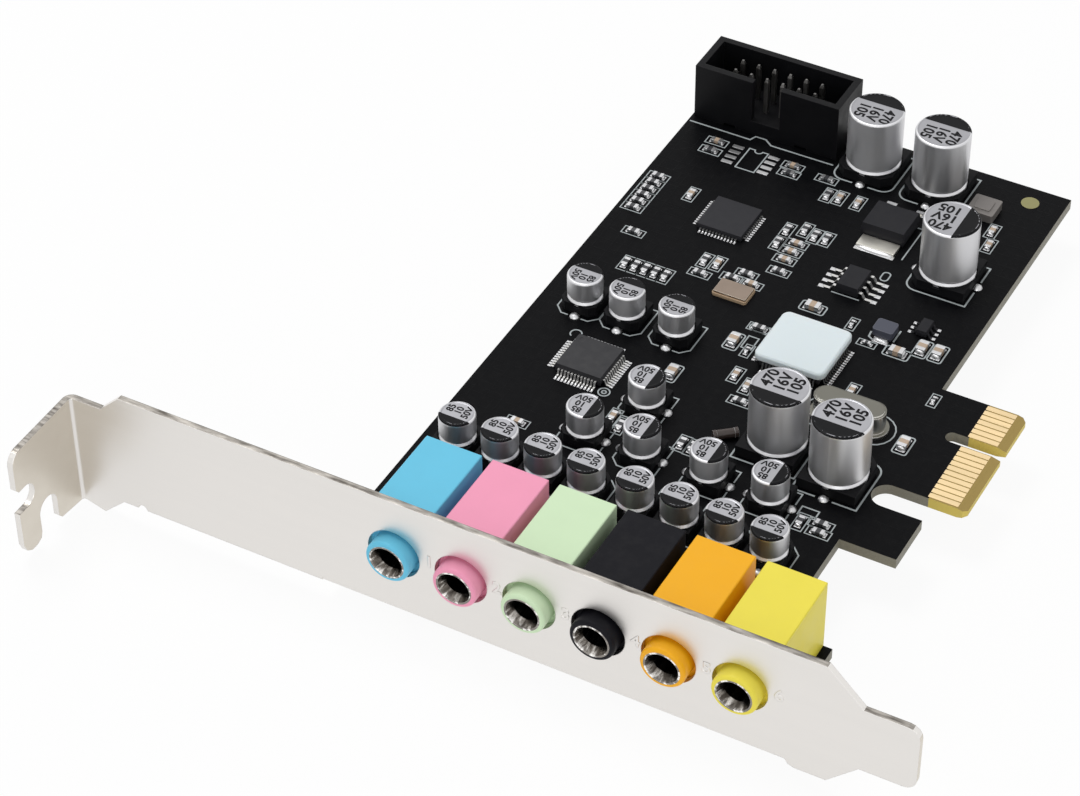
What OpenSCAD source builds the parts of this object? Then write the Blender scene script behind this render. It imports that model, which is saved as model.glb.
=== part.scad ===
// Surround sound card with six audio jacks on a full-height slot bracket.
// X runs along the bracket, Y from the bracket into the card, Z up from the bracket's lower edge.
// All lengths are millimetres. Parts on the board are placed from its left front corner.

/* [Bracket] */
// Length from the flange's outer face to the tip of the tongue
bracket_len = 120.02; // [117:0.01:123]
// Width of the bracket's main face
bracket_w = 18.42; // [18:0.01:20]
// Thickness of the sheet
sheet_t = 0.86; // [0.7:0.01:1.0]
// Inner radius of every fold
bend_r = 0.5; // [0.3:0.05:0.8]
// Length of the screw flange in front of the face
flange_len = 13; // [12.4:0.1:13.5]
// How far the flange end of the bracket sits below the lower edge
flange_drop = 3.1; // [2.9:0.1:3.4]
// How far the flange end of the bracket sits below the upper edge
flange_step = 3; // [2.5:0.1:3.4]
// Width of the open slot for the case screw
screw_slot_w = 3.6; // [3.6:0.1:4.4]
// Width of the tongue that goes into the case
tongue_w = 10.19; // [9.8:0.01:10.6]
// Diameter of the holes that the jacks pass through
jack_hole_d = 7.4; // [7:0.1:8]
// How far the folded tabs reach below the lower edge
fold_drop = 0.7; // [0.4:0.1:1]
// Length of the small spring tabs beyond their fold
tab_len = 2.4; // [1.8:0.1:3]
// Thread diameter of the screw that holds the board
board_screw_d = 3; // [2.5:0.1:3.2]

/* [Board] */
// Thickness of the circuit board
board_t = 1.57; // [1.5:0.01:1.7]
// Height of the board's underside above the bracket's lower edge
board_z = 3.01; // [2.9:0.01:3.4]
// Distance of the board's left edge from the flange's outer face
board_left = 37.94; // [36:0.01:39]
// Gap between the bracket and the board's front edge
board_gap = 0.44; // [0.3:0.01:1]
// Width of the main board without the connector tongue
board_w = 56.7; // [56:0.1:58.5]
// Depth of the board behind the bracket
board_d = 110.7; // [109:0.1:114]
// How far the board widens under the last jack
ledge_w = 7.4; // [6:0.1:9]
// Depth of that wider strip
ledge_d = 14.1; // [13:0.1:18]

/* [Edge connector] */
// How far the contact tongue reaches out of the board's edge
tongue_reach = 12.25; // [11.5:0.05:13]
// Distance of the key slot from the board's front edge
key_y = 56.54; // [55:0.01:58]
// Width of the key slot
key_w = 1.9; // [1.8:0.05:2]
// Spacing of the gold contacts
contact_pitch = 1; // [0.95:0.01:1.02]
// Width of one gold contact
contact_w = 0.8; // [0.5:0.05:0.85]
// Length of one gold contact
contact_len = 4.2; // [3.5:0.1:4.6]
// Width of the gap between the tongue and the blank tab beside it
guard_gap = 4.2; // [3.5:0.1:5]
// Width of the blank tab
guard_w = 8.1; // [7:0.1:9]
// Reach of the blank tab
guard_reach = 7.9; // [7:0.1:9]

/* [Jacks] */
// Distance of the first jack from the board's left edge
jack_x = 10.91; // [10.5:0.01:11.5]
// Spacing of the jacks
jack_pitch = 9.58; // [9.3:0.01:9.8]
// Width of a jack housing
jack_w = 8.1; // [7.6:0.1:8.8]
// Depth of a jack housing behind the bracket
jack_depth = 14.3; // [13.8:0.1:16]
// Height of a jack housing
jack_h = 10.8; // [9.8:0.1:12]
// Height of the plug's axis above the board
jack_axis_h = 5; // [4.6:0.1:5.4]
// Outer diameter of the round nose
nose_d = 6.2; // [6:0.1:6.6]
// How far the nose stands out in front of the bracket
nose_reach = 1.8; // [1:0.1:3]
// Diameter of the bore for the plug
plug_d = 3.6; // [3.55:0.01:3.7]
// Depth of the bore for the plug
plug_depth = 14.2; // [14:0.1:15]
// Outer diameter of the metal sleeve in the nose
sleeve_d = 5; // [4.6:0.1:5.2]
// Length of the metal sleeve
sleeve_len = 8; // [7:0.1:9]

/* [Pin header] */
// Pin spacing
pin_pitch = 2.54; // [2.5:0.01:2.6]
// Side of a square pin
pin_w = 0.64; // [0.6:0.01:0.66]
// Width of the shroud across the two rows
shroud_w = 8.3; // [8:0.1:9]
// Height of the shroud
shroud_h = 9.1; // [8.8:0.1:9.6]
// Wall of the shroud
shroud_wall = 1; // [0.8:0.1:1.1]
// Thickness of the shroud's floor
shroud_floor = 2.3; // [2:0.1:2.6]
// Width of the key opening in the front wall
shroud_key_w = 4.5; // [4:0.1:4.8]
// Height of the pin tips above the board
pin_top = 8.3; // [7.5:0.1:8.6]
// How far pins and jack contacts stand out under the board
pin_tail = 1.5; // [1.2:0.1:1.7]

/* [Capacitors] */
// Diameter of a small can
small_d = 5; // [4.8:0.1:5.2]
// Height of a small can above the board
small_h = 5.4; // [5:0.1:6.2]
// Diameter of a large can
large_d = 8; // [7.7:0.1:8.3]
// Height of a large can above the board
large_h = 10.5; // [9.5:0.1:11]
// Spacing of the front row of small cans
front_cap_pitch = 6.35; // [6.2:0.05:6.5]

/* [Chips] */
// Side of the two small square chips
small_chip = 7; // [6.8:0.1:7.2]
// Side of the controller chip
large_chip = 9; // [8.8:0.1:9.2]
// Height of the square chips
chip_h = 1.5; // [1.3:0.1:1.7]
// Height of the flat chip without legs
flat_chip_h = 0.85; // [0.7:0.05:1]
// Side of the white thermal pad on the controller chip
pad_side = 10.3; // [10:0.1:10.6]
// Thickness of the thermal pad
pad_t = 1; // [0.6:0.1:1.4]

/* [Hidden] */
$fn = 48;

fold_r = bend_r + sheet_t;
board_front = sheet_t + board_gap;
board_top = board_z + board_t;
board_right = board_left + board_w;
tongue_tip = board_right + tongue_reach;
flange_top = bracket_w - flange_step;
flange_low = -flange_drop + 0.9;
slot_z = 7.3;
slot_depth = 1.8;
jack_axis_z = board_top + jack_axis_h;
small_clear = 0.05;
cut = 1;

// Contact rows of the edge connector, on each side of its key slot
near_contacts = 11;
far_contacts = 7;
key_side = 1.5;
tongue_margin = 0.66;
tongue_front = key_y - key_side - (near_contacts - 1) * contact_pitch - tongue_margin;
tongue_back = key_y + key_side + (far_contacts - 1) * contact_pitch + tongue_margin;
key_depth = tongue_reach - 4.1;
tip_bevel_len = 1.3;
tip_bevel_in = 0.35;
contact_t = 0.05;
contact_setback = 1.1;

// Jacks
jack_colors = ["#5cb8e0", "#f28fb8", "#cfe8c2", "#1c1c20", "#f5a61c", "#f2df4e"];
jack_count = len(jack_colors);
housing_corner = 0.2;
nose_edge = 0.45;
mouth_d = 4.5;
mouth_len = 1.2;
blade_t = 0.3;
blade_w = 0.9;
blade_x = 2.95;
blade_spots = [[-blade_x, 6.4], [blade_x, 6.4], [-blade_x, 11.6], [blade_x, 11.6]];
blade_top = 7.2;
peg_d = 1.2;
peg_h = 1.2;
peg_spots = [[0, 7.2], [0, 12.6]];
sleeve_blade_y = 1.9;
drill_d = 1.3;

// The folded strip along the bracket's lower edge, and the gaps between its tabs
fold_z = fold_r - fold_drop;
fold_end = board_left + jack_x + (jack_count - 1) * jack_pitch + 4.85;
relief_w = 0.9;
relief_shift = 1;
ear_end = relief_x(0) - relief_w / 2;
flat_low = -0.8;
flat_end = bracket_len - 11.5;
tongue_root = bracket_len - 7.3;
ear_w = 6.2;
ear_x = 3.35;
ear_y = 9;
collar_d = 4.8;
screw_head_d = 5.4;
screw_head_h = 2;

// Pin header
header_columns = 6;
header_end = 5.08;
header_x = 0.38;
header_y = board_d + 0.95 - shroud_w / 2;
shroud_len = (header_columns - 1) * pin_pitch + 2 * header_end;
header_cx = header_x + shroud_len / 2;
pin_point = 0.5;
pin_tip_w = 0.3;

// Places behind the jacks are written for a board of this size and spread with it
drawn_w = 56.7;
drawn_d = 110.7;
spread_from = 26;
function seat(at) = at[1] < spread_from
    ? [at[0], at[1]]
    : [at[0] * board_w / drawn_w,
        spread_from + (at[1] - spread_from) * (board_d - spread_from) / (drawn_d - spread_from)];

// Places of the capacitors: X, Y and the turn of the marked side
front_caps = [
    for (group = [5.1, 31.2])
        for (i = [0:3])
            [group + i * front_cap_pitch, 24.85, 270]
];
middle_caps = [[19, 34.15, 0], [27.4, 34.15, 0], [37.1, 34.15, 0], [45.9, 34.15, 0], [23.5, 43.1, 0]];
rear_caps = [[6.4, 57.9, 90], [12.9, 57.9, 90], [20.4, 57.9, 90]];
large_caps = [[42.2, 44.1, 270], [51.8, 42.4, 270], [48, 86.4, 0], [28.7, 104.3, 90], [39, 104.2, 90]];
base_margin = 0.3;
base_t = 1;
base_lug = 0.6;
terminal_t = 0.15;
terminal_w = 1.2;
terminal_out = 0.8;

// Places of the chips
codec_at = [12.9, 47];
converter_at = [15.9, 83.5];
controller_at = [37.5, 62];
amplifier_at = [37.3, 78.75];
regulator_at = [36.8, 91.85];
oscillator_at = [23.4, 69.5];
crystal_at = [48.4, 53.1];
inductor_at = [45.45, 71.25];
switch_at = [49.85, 74.55];
choke_at = [46.8, 102.3];
diode_at = [35.5, 42.4];
diode_turn = 40;
mark_at = [51.8, 107.3];
empty_chip_at = [12.32, 97.6];
amplifier_w = 3.4;
controller_per_side = 16;
controller_span = 0.9;
lead_t = 0.13;
draft = 0.12;

// Length, width and height of the chip part sizes
chip_sizes = [[1.0, 0.5, 0.4], [1.6, 0.8, 0.5], [2.0, 1.25, 0.8]];
end_cap_share = 0.3;
end_cap_wrap = 0.02;

// Places of the chip resistors: X, Y, turn and size
bank_resistors = [for (i = [0:5]) [2.35, 79.85 + 1.6 * i, 0, 1]];
row_resistors = [for (i = [0:4]) [7.3 + 1.55 * i, 68.3, 90, 1]];
other_resistors = [
    [6.2, 96.9, 0, 1], [18.6, 97.3, 0, 1], [24, 98.6, 0, 1], [25.7, 95.4, 90, 1],
    [5.05, 74.95, 0, 1], [16.8, 74, 90, 1], [17.35, 71.1, 0, 1], [21.75, 72.3, 0, 1],
    [23.2, 74, 0, 1], [24.05, 85.5, 90, 1], [24.05, 82.3, 90, 1], [26.3, 86.7, 90, 1],
    [28.1, 86.1, 90, 1], [29.8, 86.2, 90, 1], [26.9, 76.6, 0, 1], [34, 49.65, 0, 1],
    [30.4, 59.4, 90, 0], [40.6, 71.2, 90, 0], [44, 68.4, 0, 0], [56.7, 62, 90, 0],
    [51, 32.6, 90, 1], [53.6, 33.4, 0, 1], [53.9, 31.8, 0, 1], [22.3, 37.9, 90, 1],
    [31, 38.7, 90, 1], [32.6, 38.6, 90, 1], [29.8, 64.4, 0, 1]
];
resistors = concat(bank_resistors, row_resistors, other_resistors);

// Places of the chip capacitors: X, Y, turn and size
capacitors = [
    [6.15, 99.2, 0, 1], [18.4, 99.1, 0, 1], [27.5, 95.6, 90, 1], [30.3, 95.7, 90, 1],
    [8.4, 86.4, 90, 1], [18.7, 74.2, 90, 1], [24.75, 72.3, 0, 1], [26.5, 83.3, 0, 1],
    [26.5, 81.3, 0, 1], [26.5, 79.3, 0, 1], [34.4, 71.8, 0, 2], [27.9, 60.4, 90, 2],
    [31.25, 54.3, 90, 1], [33.6, 52.9, 90, 1], [46.3, 58.6, 90, 1], [48.4, 68.5, 0, 2],
    [51.1, 70.9, 90, 2], [53.4, 71, 90, 2], [56.7, 52.1, 90, 2], [23.5, 50.6, 90, 2],
    [20.6, 39.1, 90, 1], [9.9, 32.2, 0, 1], [34.3, 28.9, 0, 1], [40.8, 28.9, 0, 1],
    [49.6, 98.8, 90, 1], [50.4, 95.6, 90, 1]
];

// The frame stands on the lowest point, with its origin in the middle of the outline
back_reach = max(board_front + board_d, board_front + header_y + shroud_w / 2);
middle = [bracket_len / 2, (back_reach - flange_len) / 2, -flange_drop];

module framed() {
    translate(-middle) children();
}

module on_board(at, turn = 0) {
    translate([board_left + at[0], board_front + at[1], board_top]) rotate([0, 0, turn]) children();
}

// Parts behind the jacks keep their share of the board's width and depth
module placed(at, turn = 0) {
    on_board(seat(at), turn) children();
}

module at_jack(i) {
    translate([board_left + jack_x + i * jack_pitch, board_front, 0]) children();
}

// A flat sheet that stands in the X-Z plane, from y = 0 back to y = t
module upright(t) {
    translate([0, t, 0]) rotate([90, 0, 0]) linear_extrude(t) children();
}

// A flat sheet that stands in the Y-Z plane, from x = 0 to x = t
module sideways(t) {
    rotate([90, 0, 90]) linear_extrude(t) children();
}

module rounded_rect(size, r) {
    square([size[0] - 2 * r, size[1]], center = true);
    square([size[0], size[1] - 2 * r], center = true);
    for (sx = [-1, 1], sy = [-1, 1])
        translate([sx * (size[0] / 2 - r), sy * (size[1] / 2 - r)]) circle(r);
}

function arc(middle, r, from, to, steps = 4) = [
    for (k = [0:steps])
        middle + r * [cos(from + (to - from) * k / steps), sin(from + (to - from) * k / steps)]
];

module bar(low, high) {
    translate(low) cube(high - low);
}

// A moulded block whose sides draw in towards the top and the bottom
module moulded(w, d, h, lean = draft) {
    intersection() {
        translate([0, -d / 2, 0]) upright(d) drafted_face(w, h, lean);
        translate([-w / 2, 0, 0]) sideways(w) drafted_face(d, h, lean);
    }
}

module drafted_face(w, h, lean) {
    polygon([
        [-w / 2 + lean, 0], [w / 2 - lean, 0], [w / 2, h * 0.45], [w / 2, h * 0.55],
        [w / 2 - lean, h], [-w / 2 + lean, h], [-w / 2, h * 0.55], [-w / 2, h * 0.45]
    ]);
}

// Circuit board

module board_outline() {
    square([board_w, board_d]);
    square([board_w + ledge_w, ledge_d]);
    translate([board_w - cut, tongue_front])
        square([tongue_reach + cut, tongue_back - tongue_front]);
    translate([board_w - cut, tongue_front - guard_gap - guard_w])
        square([guard_reach + cut, guard_w]);
    translate([board_w - cut, tongue_front - guard_gap - cut])
        square([guard_gap / 2 + cut, guard_gap + 2 * cut]);
}

module rounded_slot(x0, x1, y, w) {
    translate([x0 + w / 2, y]) circle(w / 2);
    translate([x0 + w / 2, y - w / 2]) square([x1 - x0 - w / 2, w]);
}

module board_slots() {
    rounded_slot(board_w + tongue_reach - key_depth, board_w + tongue_reach + cut, key_y, key_w);
    rounded_slot(board_w, board_w + tongue_reach + cut, tongue_front - guard_gap / 2, guard_gap);
    for (y = [tongue_front, tongue_back])
        translate([board_w + tongue_reach, y]) rotate(45) square(0.8, center = true);
}

module board_drills() {
    translate([ear_x, ear_y - board_front]) circle(d = board_screw_d + 0.4);
    for (i = [0:jack_count - 1])
        translate([jack_x + i * jack_pitch, 0]) {
            for (p = concat(blade_spots, [[0, sleeve_blade_y]]))
                translate(p) circle(d = drill_d);
            for (p = peg_spots)
                translate(p) circle(d = peg_d + 0.1);
        }
    for (p = header_spots)
        translate(p) circle(d = drill_d - 0.3);
    for (p = crystal_spots)
        translate(p) circle(d = drill_d - 0.3);
}

header_spots = [
    for (row = [-0.5, 0.5])
        for (i = [0:header_columns - 1])
            [header_x + header_end + i * pin_pitch, header_y + row * pin_pitch]
];
crystal_spots = [for (s = [-1, 1]) seat(crystal_at) + [s * 2.44, 0]];

// The wedge that the lower face of the connector tongue loses at its tip
module tip_bevel() {
    tip = board_w + tongue_reach;
    translate([0, tongue_back + cut, 0]) rotate([90, 0, 0])
        linear_extrude(tongue_back - tongue_front + 2 * cut) polygon([
            [tip - tip_bevel_len, 0], [tip, tip_bevel_in], [tip + cut, tip_bevel_in],
            [tip + cut, -cut], [tip - tip_bevel_len, -cut]
        ]);
}

module board() {
    color("#16171b") framed() translate([board_left, board_front, board_z]) difference() {
        linear_extrude(board_t) difference() {
            board_outline();
            board_slots();
            board_drills();
        }
        tip_bevel();
        translate([0, 0, board_t]) mirror([0, 0, 1]) tip_bevel();
    }
}

module contact_row(z) {
    contact_ys = concat(
        [for (i = [0:near_contacts - 1]) key_y - key_side - i * contact_pitch],
        [for (i = [0:far_contacts - 1]) key_y + key_side + i * contact_pitch]
    );
    x1 = board_w + tongue_reach - tip_bevel_len;
    framed() for (y = contact_ys)
        translate([board_left + x1 - contact_len, board_front + y - contact_w / 2, z])
            cube([contact_len, contact_w, contact_t]);
}

module edge_contacts_top() {
    color("#d9b75a") contact_row(board_top);
}

module edge_contacts_bottom() {
    color("#d9b75a") contact_row(board_z - contact_t);
}

// Tinned pads of the chip that is left off, and the round gold mark near the back edge
module bare_pads() {
    color("#c9ccce") framed() {
        for (side = [-1, 1], i = [0:3])
            placed(empty_chip_at)
                translate([side * 2.85, (i - 1.5) * 1.28, 0])
                    bar([-0.85, -0.33, 0], [0.85, 0.33, 0.08]);
        placed(mark_at) cylinder(d = 2.6, h = 0.06);
    }
}

// Solder cones around every pin that comes out under the board
module solder_joints() {
    color("#c6c8ca") framed() {
        for (p = header_spots)
            solder_cone(p, [pin_w, pin_w]);
        for (p = crystal_spots)
            solder_cone(p, [0.5, 0.5]);
        for (i = [0:jack_count - 1]) {
            for (p = blade_spots)
                solder_cone([jack_x + i * jack_pitch + p[0], p[1]], [blade_t, blade_w]);
            solder_cone([jack_x + i * jack_pitch, sleeve_blade_y], [blade_w, blade_t]);
        }
    }
}

module solder_cone(at, pin) {
    translate([board_left + at[0], board_front + at[1], board_z - 0.9]) difference() {
        cylinder(d1 = 1.2, d2 = 2, h = 0.9);
        translate([0, 0, 0.4]) cube([pin[0] + 0.02, pin[1] + 0.02, 2], center = true);
    }
}

// Bracket

module face_outline() {
    tongue_low = (bracket_w - tongue_w) / 2 - 0.8;
    tongue_high = tongue_low + tongue_w;
    corner = 1.7;
    difference() {
        polygon(concat(
            [
                [fold_r, flange_low], [4.3, -flange_drop], [7.6, 0], [board_left, 0],
                [board_left, fold_z], [fold_end, fold_z], [fold_end, 0.2], [fold_end + 1.4, 0.2],
                [fold_end + 1.9, flat_low + 0.3], [fold_end + 2.7, flat_low], [flat_end, flat_low],
                [flat_end + tongue_low - flat_low, tongue_low]
            ],
            arc([bracket_len - corner, tongue_low + corner], corner, 270, 360),
            arc([bracket_len - corner, tongue_high - corner], corner, 0, 90),
            [
                [tongue_root, tongue_high], [tongue_root - bracket_w + tongue_high, bracket_w],
                [5.5 + flange_step, bracket_w], [5.5, flange_top], [fold_r, flange_top]
            ]
        ));
        for (i = [0:jack_count - 1])
            translate([board_left + jack_x + i * jack_pitch, jack_axis_z]) circle(d = jack_hole_d);
        translate([10.5, 0]) circle(d = 1.4);
    }
}

function relief_x(i) = board_left + jack_x + i * jack_pitch + relief_shift;

module flange_outline() {
    r = screw_slot_w / 2;
    corner = 1.8;
    front = -flange_len;
    lobe_low = flange_low + 0.3;
    notch_r = 1.9;
    notch_at = [-7.2, 2];
    lobe_x = notch_at[0] - notch_r;
    hook_x = notch_at[0] + notch_r;
    difference() {
        polygon(concat(
            [[-bend_r, flange_low], [-bend_r, flange_top]],
            arc([front + corner, flange_top - corner], corner, 90, 180),
            [
                [front, slot_z + r + 0.6], [front + 0.5, slot_z + r], [front, slot_z - r],
                [front, lobe_low + 1.9], [front + 0.5, lobe_low + 0.7],
                [front + 1.5, lobe_low], [lobe_x - 1.2, lobe_low], [lobe_x - 0.3, lobe_low + 0.4],
                [lobe_x, lobe_low + 1.3], [lobe_x, notch_at[1]], [hook_x, notch_at[1]],
                [hook_x, lobe_low + 0.9], [hook_x + 0.6, lobe_low + 0.2]
            ]
        ));
        translate([front + slot_depth, slot_z]) circle(r);
        translate([front - cut, slot_z - r]) square([slot_depth + cut, 2 * r]);
        translate(notch_at) circle(notch_r);
    }
}

// The quarter ring of a fold, in the quadrant of negative x and positive y
module fold_profile() {
    intersection() {
        difference() {
            circle(fold_r);
            circle(bend_r);
        }
        translate([-fold_r, 0]) square(fold_r);
    }
}

// Outline of one small spring tab in plan, from the end of the fold
module spring_tab(x0, x1) {
    taper = 1.4;
    polygon([[x0, 0], [x1, 0], [x1 - taper, tab_len], [x0 + taper, tab_len]]);
}

// Outline of the ear that carries the board's screw
module ear_tab() {
    x0 = board_left;
    at = [board_left + ear_x, ear_y - fold_r];
    difference() {
        union() {
            polygon([[x0, 0], [ear_end, 0], [ear_end - 1.4, tab_len], [x0 + ear_w + 0.8, tab_len],
                [x0 + ear_w + 0.2, tab_len + 0.8], at + [ear_w / 2, 0], at - [ear_w / 2, 0]]);
            translate(at) circle(ear_w / 2);
        }
        translate(at) circle(d = board_screw_d + 2 * small_clear);
    }
}

module end_tab() {
    x0 = relief_x(jack_count - 1) + relief_w / 2;
    polygon([[x0, 0], [fold_end - 0.3, 0], [fold_end - 0.5, 1.4], [x0 + 0.2, 1.4]]);
    translate([(x0 + fold_end) / 2, 2]) circle(1.6);
}

// The strip folded back under the board, with its tabs and the collar that holds the board up
module folded_strip() {
    translate([board_left, fold_r, fold_r])
        sideways(fold_end - board_left) rotate(90) fold_profile();
    translate([0, fold_r, 0]) linear_extrude(sheet_t) {
        ear_tab();
        for (i = [0:jack_count - 2])
            spring_tab(relief_x(i) + relief_w / 2, relief_x(i + 1) - relief_w / 2);
        end_tab();
    }
    translate([board_left + ear_x, ear_y, sheet_t]) difference() {
        cylinder(d = collar_d, h = board_z + fold_drop - sheet_t);
        translate([0, 0, -cut])
            cylinder(d = board_screw_d + 2 * small_clear, h = board_z + fold_drop + cut);
    }
}

module bracket() {
    color("#d8d4cc") framed() {
        upright(sheet_t) face_outline();
        sideways(sheet_t) flange_outline();
        translate([fold_r, -bend_r, flange_low]) linear_extrude(flange_top - flange_low) fold_profile();
        translate([0, 0, -fold_drop]) folded_strip();
    }
}

module bracket_screw() {
    shank_len = board_top + fold_drop - sheet_t / 2;
    color("#c9c9c6") framed() translate([board_left + ear_x, ear_y, board_top]) difference() {
        union() {
            translate([0, 0, -shank_len]) cylinder(d = board_screw_d, h = shank_len);
            cylinder(d = screw_head_d, h = screw_head_h * 0.6);
            translate([0, 0, screw_head_h * 0.6])
                cylinder(d1 = screw_head_d, d2 = screw_head_d - 1.6, h = screw_head_h * 0.4);
        }
        for (turn = [0, 90])
            rotate([0, 0, turn]) translate([0, 0, screw_head_h])
                cube([2.8, 0.6, 2.2], center = true);
    }
}

// Jacks

module housing_block() {
    top_cut = 0.12;
    half = jack_w / 2;
    intersection() {
        translate([0, jack_depth / 2, 0]) linear_extrude(jack_h)
            rounded_rect([jack_w, jack_depth], housing_corner);
        upright(jack_depth) polygon([
            [-half, 0], [half, 0], [half, jack_h - top_cut], [half - top_cut, jack_h],
            [-half + top_cut, jack_h], [-half, jack_h - top_cut]
        ]);
        translate([-half, 0, 0]) sideways(jack_w) polygon([
            [0, 0], [jack_depth, 0], [jack_depth, jack_h - top_cut],
            [jack_depth - top_cut, jack_h], [0, jack_h]
        ]);
    }
}

// Points along the jack's axis are measured from the board's front edge
module along_axis(y) {
    translate([0, y, jack_axis_h]) rotate([-90, 0, 0]) children();
}

module housing_nose() {
    reach = nose_reach + board_front;
    r = nose_d / 2;
    along_axis(-reach) rotate_extrude() polygon(concat(
        [[0, 0], [r - nose_edge, 0]],
        [for (a = [15:15:75]) [r - nose_edge + nose_edge * sin(a), nose_edge - nose_edge * cos(a)]],
        [[r, nose_edge], [r, reach + housing_corner], [0, reach + housing_corner]]
    ));
}

module jack_housing(i) {
    nose_tip = -nose_reach - board_front;
    color(jack_colors[i]) framed() at_jack(i) translate([0, 0, board_top]) difference() {
        union() {
            housing_block();
            housing_nose();
            for (p = peg_spots)
                translate([p[0], p[1], -peg_h]) cylinder(d = peg_d, h = peg_h + cut);
        }
        along_axis(nose_tip) {
            translate([0, 0, -cut]) cylinder(d = sleeve_d, h = sleeve_len + cut);
            translate([0, 0, sleeve_len - cut]) cylinder(d = plug_d, h = plug_depth - sleeve_len + cut);
        }
        for (p = blade_spots)
            translate([p[0], p[1], 0])
                cube([blade_t + 0.1, blade_w + 0.1, 2 * blade_top + 0.1], center = true);
        translate([0, sleeve_blade_y, 0])
            cube([blade_w + 0.1, blade_t + 0.1, 2 * jack_axis_h], center = true);
    }
}

module jack_sleeve(i) {
    color("#cfcfcf") framed() at_jack(i) translate([0, 0, board_top])
        along_axis(-nose_reach - board_front) difference() {
            cylinder(d = sleeve_d, h = sleeve_len);
            translate([0, 0, -cut]) cylinder(d = plug_d, h = sleeve_len + 2 * cut);
            cylinder(d1 = mouth_d, d2 = plug_d, h = mouth_len);
        }
}

module jack_contacts(i) {
    tail = board_t + pin_tail;
    sleeve_blade_h = jack_axis_h - sleeve_d / 2;
    color("#cbbf9a") framed() at_jack(i) translate([0, 0, board_top]) {
        for (p = blade_spots)
            translate([p[0] - blade_t / 2, p[1] - blade_w / 2, -tail])
                cube([blade_t, blade_w, blade_top + tail]);
        translate([-blade_w / 2, sleeve_blade_y - blade_t / 2, -tail])
            cube([blade_w, blade_t, sleeve_blade_h + tail]);
    }
}

module blue_jack_housing() { jack_housing(0); }
module pink_jack_housing() { jack_housing(1); }
module green_jack_housing() { jack_housing(2); }
module black_jack_housing() { jack_housing(3); }
module orange_jack_housing() { jack_housing(4); }
module yellow_jack_housing() { jack_housing(5); }
module blue_jack_sleeve() { jack_sleeve(0); }
module pink_jack_sleeve() { jack_sleeve(1); }
module green_jack_sleeve() { jack_sleeve(2); }
module black_jack_sleeve() { jack_sleeve(3); }
module orange_jack_sleeve() { jack_sleeve(4); }
module yellow_jack_sleeve() { jack_sleeve(5); }
module blue_jack_contacts() { jack_contacts(0); }
module pink_jack_contacts() { jack_contacts(1); }
module green_jack_contacts() { jack_contacts(2); }
module black_jack_contacts() { jack_contacts(3); }
module orange_jack_contacts() { jack_contacts(4); }
module yellow_jack_contacts() { jack_contacts(5); }

// Pin header

module header_shroud() {
    inner = [shroud_len - 2 * shroud_wall, shroud_w - 2 * shroud_wall];
    color("#141416") framed() on_board([header_cx, header_y]) difference() {
        translate([-shroud_len / 2, -shroud_w / 2, 0]) cube([shroud_len, shroud_w, shroud_h]);
        translate([-inner[0] / 2, -inner[1] / 2, shroud_floor]) cube([inner[0], inner[1], shroud_h]);
        translate([-shroud_key_w / 2, -shroud_w / 2 - cut, shroud_floor])
            cube([shroud_key_w, shroud_wall + 2 * cut, shroud_h]);
        for (p = header_spots)
            translate([p[0] - header_cx, p[1] - header_y, 0])
                cube([pin_w + 0.02, pin_w + 0.02, 4 * shroud_floor], center = true);
        for (s = [-1, 1])
            translate([s * shroud_len / 4, 0, 0]) cube([2, shroud_w + cut, 0.8], center = true);
    }
}

// A square pin whose two ends are pointed
module square_pin(low, high) {
    side = pin_w / 2;
    tip = pin_tip_w / 2;
    face = [
        [-tip, low], [tip, low], [side, low + pin_point], [side, high - pin_point],
        [tip, high], [-tip, high], [-side, high - pin_point], [-side, low + pin_point]
    ];
    intersection() {
        translate([0, -side, 0]) upright(pin_w) polygon(face);
        translate([-side, 0, 0]) sideways(pin_w) polygon(face);
    }
}

module header_pins() {
    color("#d8c27a") framed() for (p = header_spots)
        on_board(p) square_pin(-board_t - pin_tail, pin_top);
}

// Electrolytic capacitors; the marked side is +X before they are turned

module cap_can(d, h) {
    r = d / 2;
    lip = 0.35;
    neck = r - 0.28;
    low = base_t + terminal_t;
    rotate_extrude() polygon(concat(
        [[0, low], [r - 0.12, low], [r, low + 0.12], [r, low + 0.5], [neck, low + 0.8],
            [neck, low + 1], [r, low + 1.3], [r, h - lip]],
        [for (a = [18:18:72]) [r - lip + lip * cos(a), h - lip + lip * sin(a)]],
        [[r - lip, h], [r - lip - 0.15, h - 0.06], [0, h - 0.06]]
    ));
}

module cap_base(d) {
    side = (d + base_margin) / 2;
    corner = side * 0.32;
    difference() {
        translate([0, 0, terminal_t]) linear_extrude(base_t + base_lug) polygon([
            [side, -side], [side, side], [-side + corner, side], [-side, side - corner],
            [-side, -side + corner], [-side + corner, -side]
        ]);
        translate([0, 0, terminal_t + base_t]) cylinder(r = side + 0.02, h = base_lug + cut);
    }
}

// A flat terminal and the solder at its end, one on each side
module cap_terminals(d) {
    side = (d + base_margin) / 2;
    for (turn = [0, 180])
        rotate([0, 0, turn]) {
            bar([side - 1.2, -terminal_w / 2, 0], [side + terminal_out, terminal_w / 2, terminal_t]);
            intersection() {
                translate([side + 0.12, -terminal_w / 2 - 0.25, 0])
                    cube([terminal_out + 0.2, terminal_w + 0.5, 0.45]);
                translate([side + 0.4, 0, -0.3]) sphere(r = 0.8);
            }
        }
}

module cans(list, d, h) {
    color("#b5b8bb") framed() for (c = list) placed(c, c[2]) cap_can(d, h);
}

module bases(list, d) {
    color("#1a1a1c") framed() for (c = list) placed(c, c[2]) cap_base(d);
}

module terminals(list, d) {
    color("#c6c8ca") framed() for (c = list) placed(c, c[2]) cap_terminals(d);
}

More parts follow.
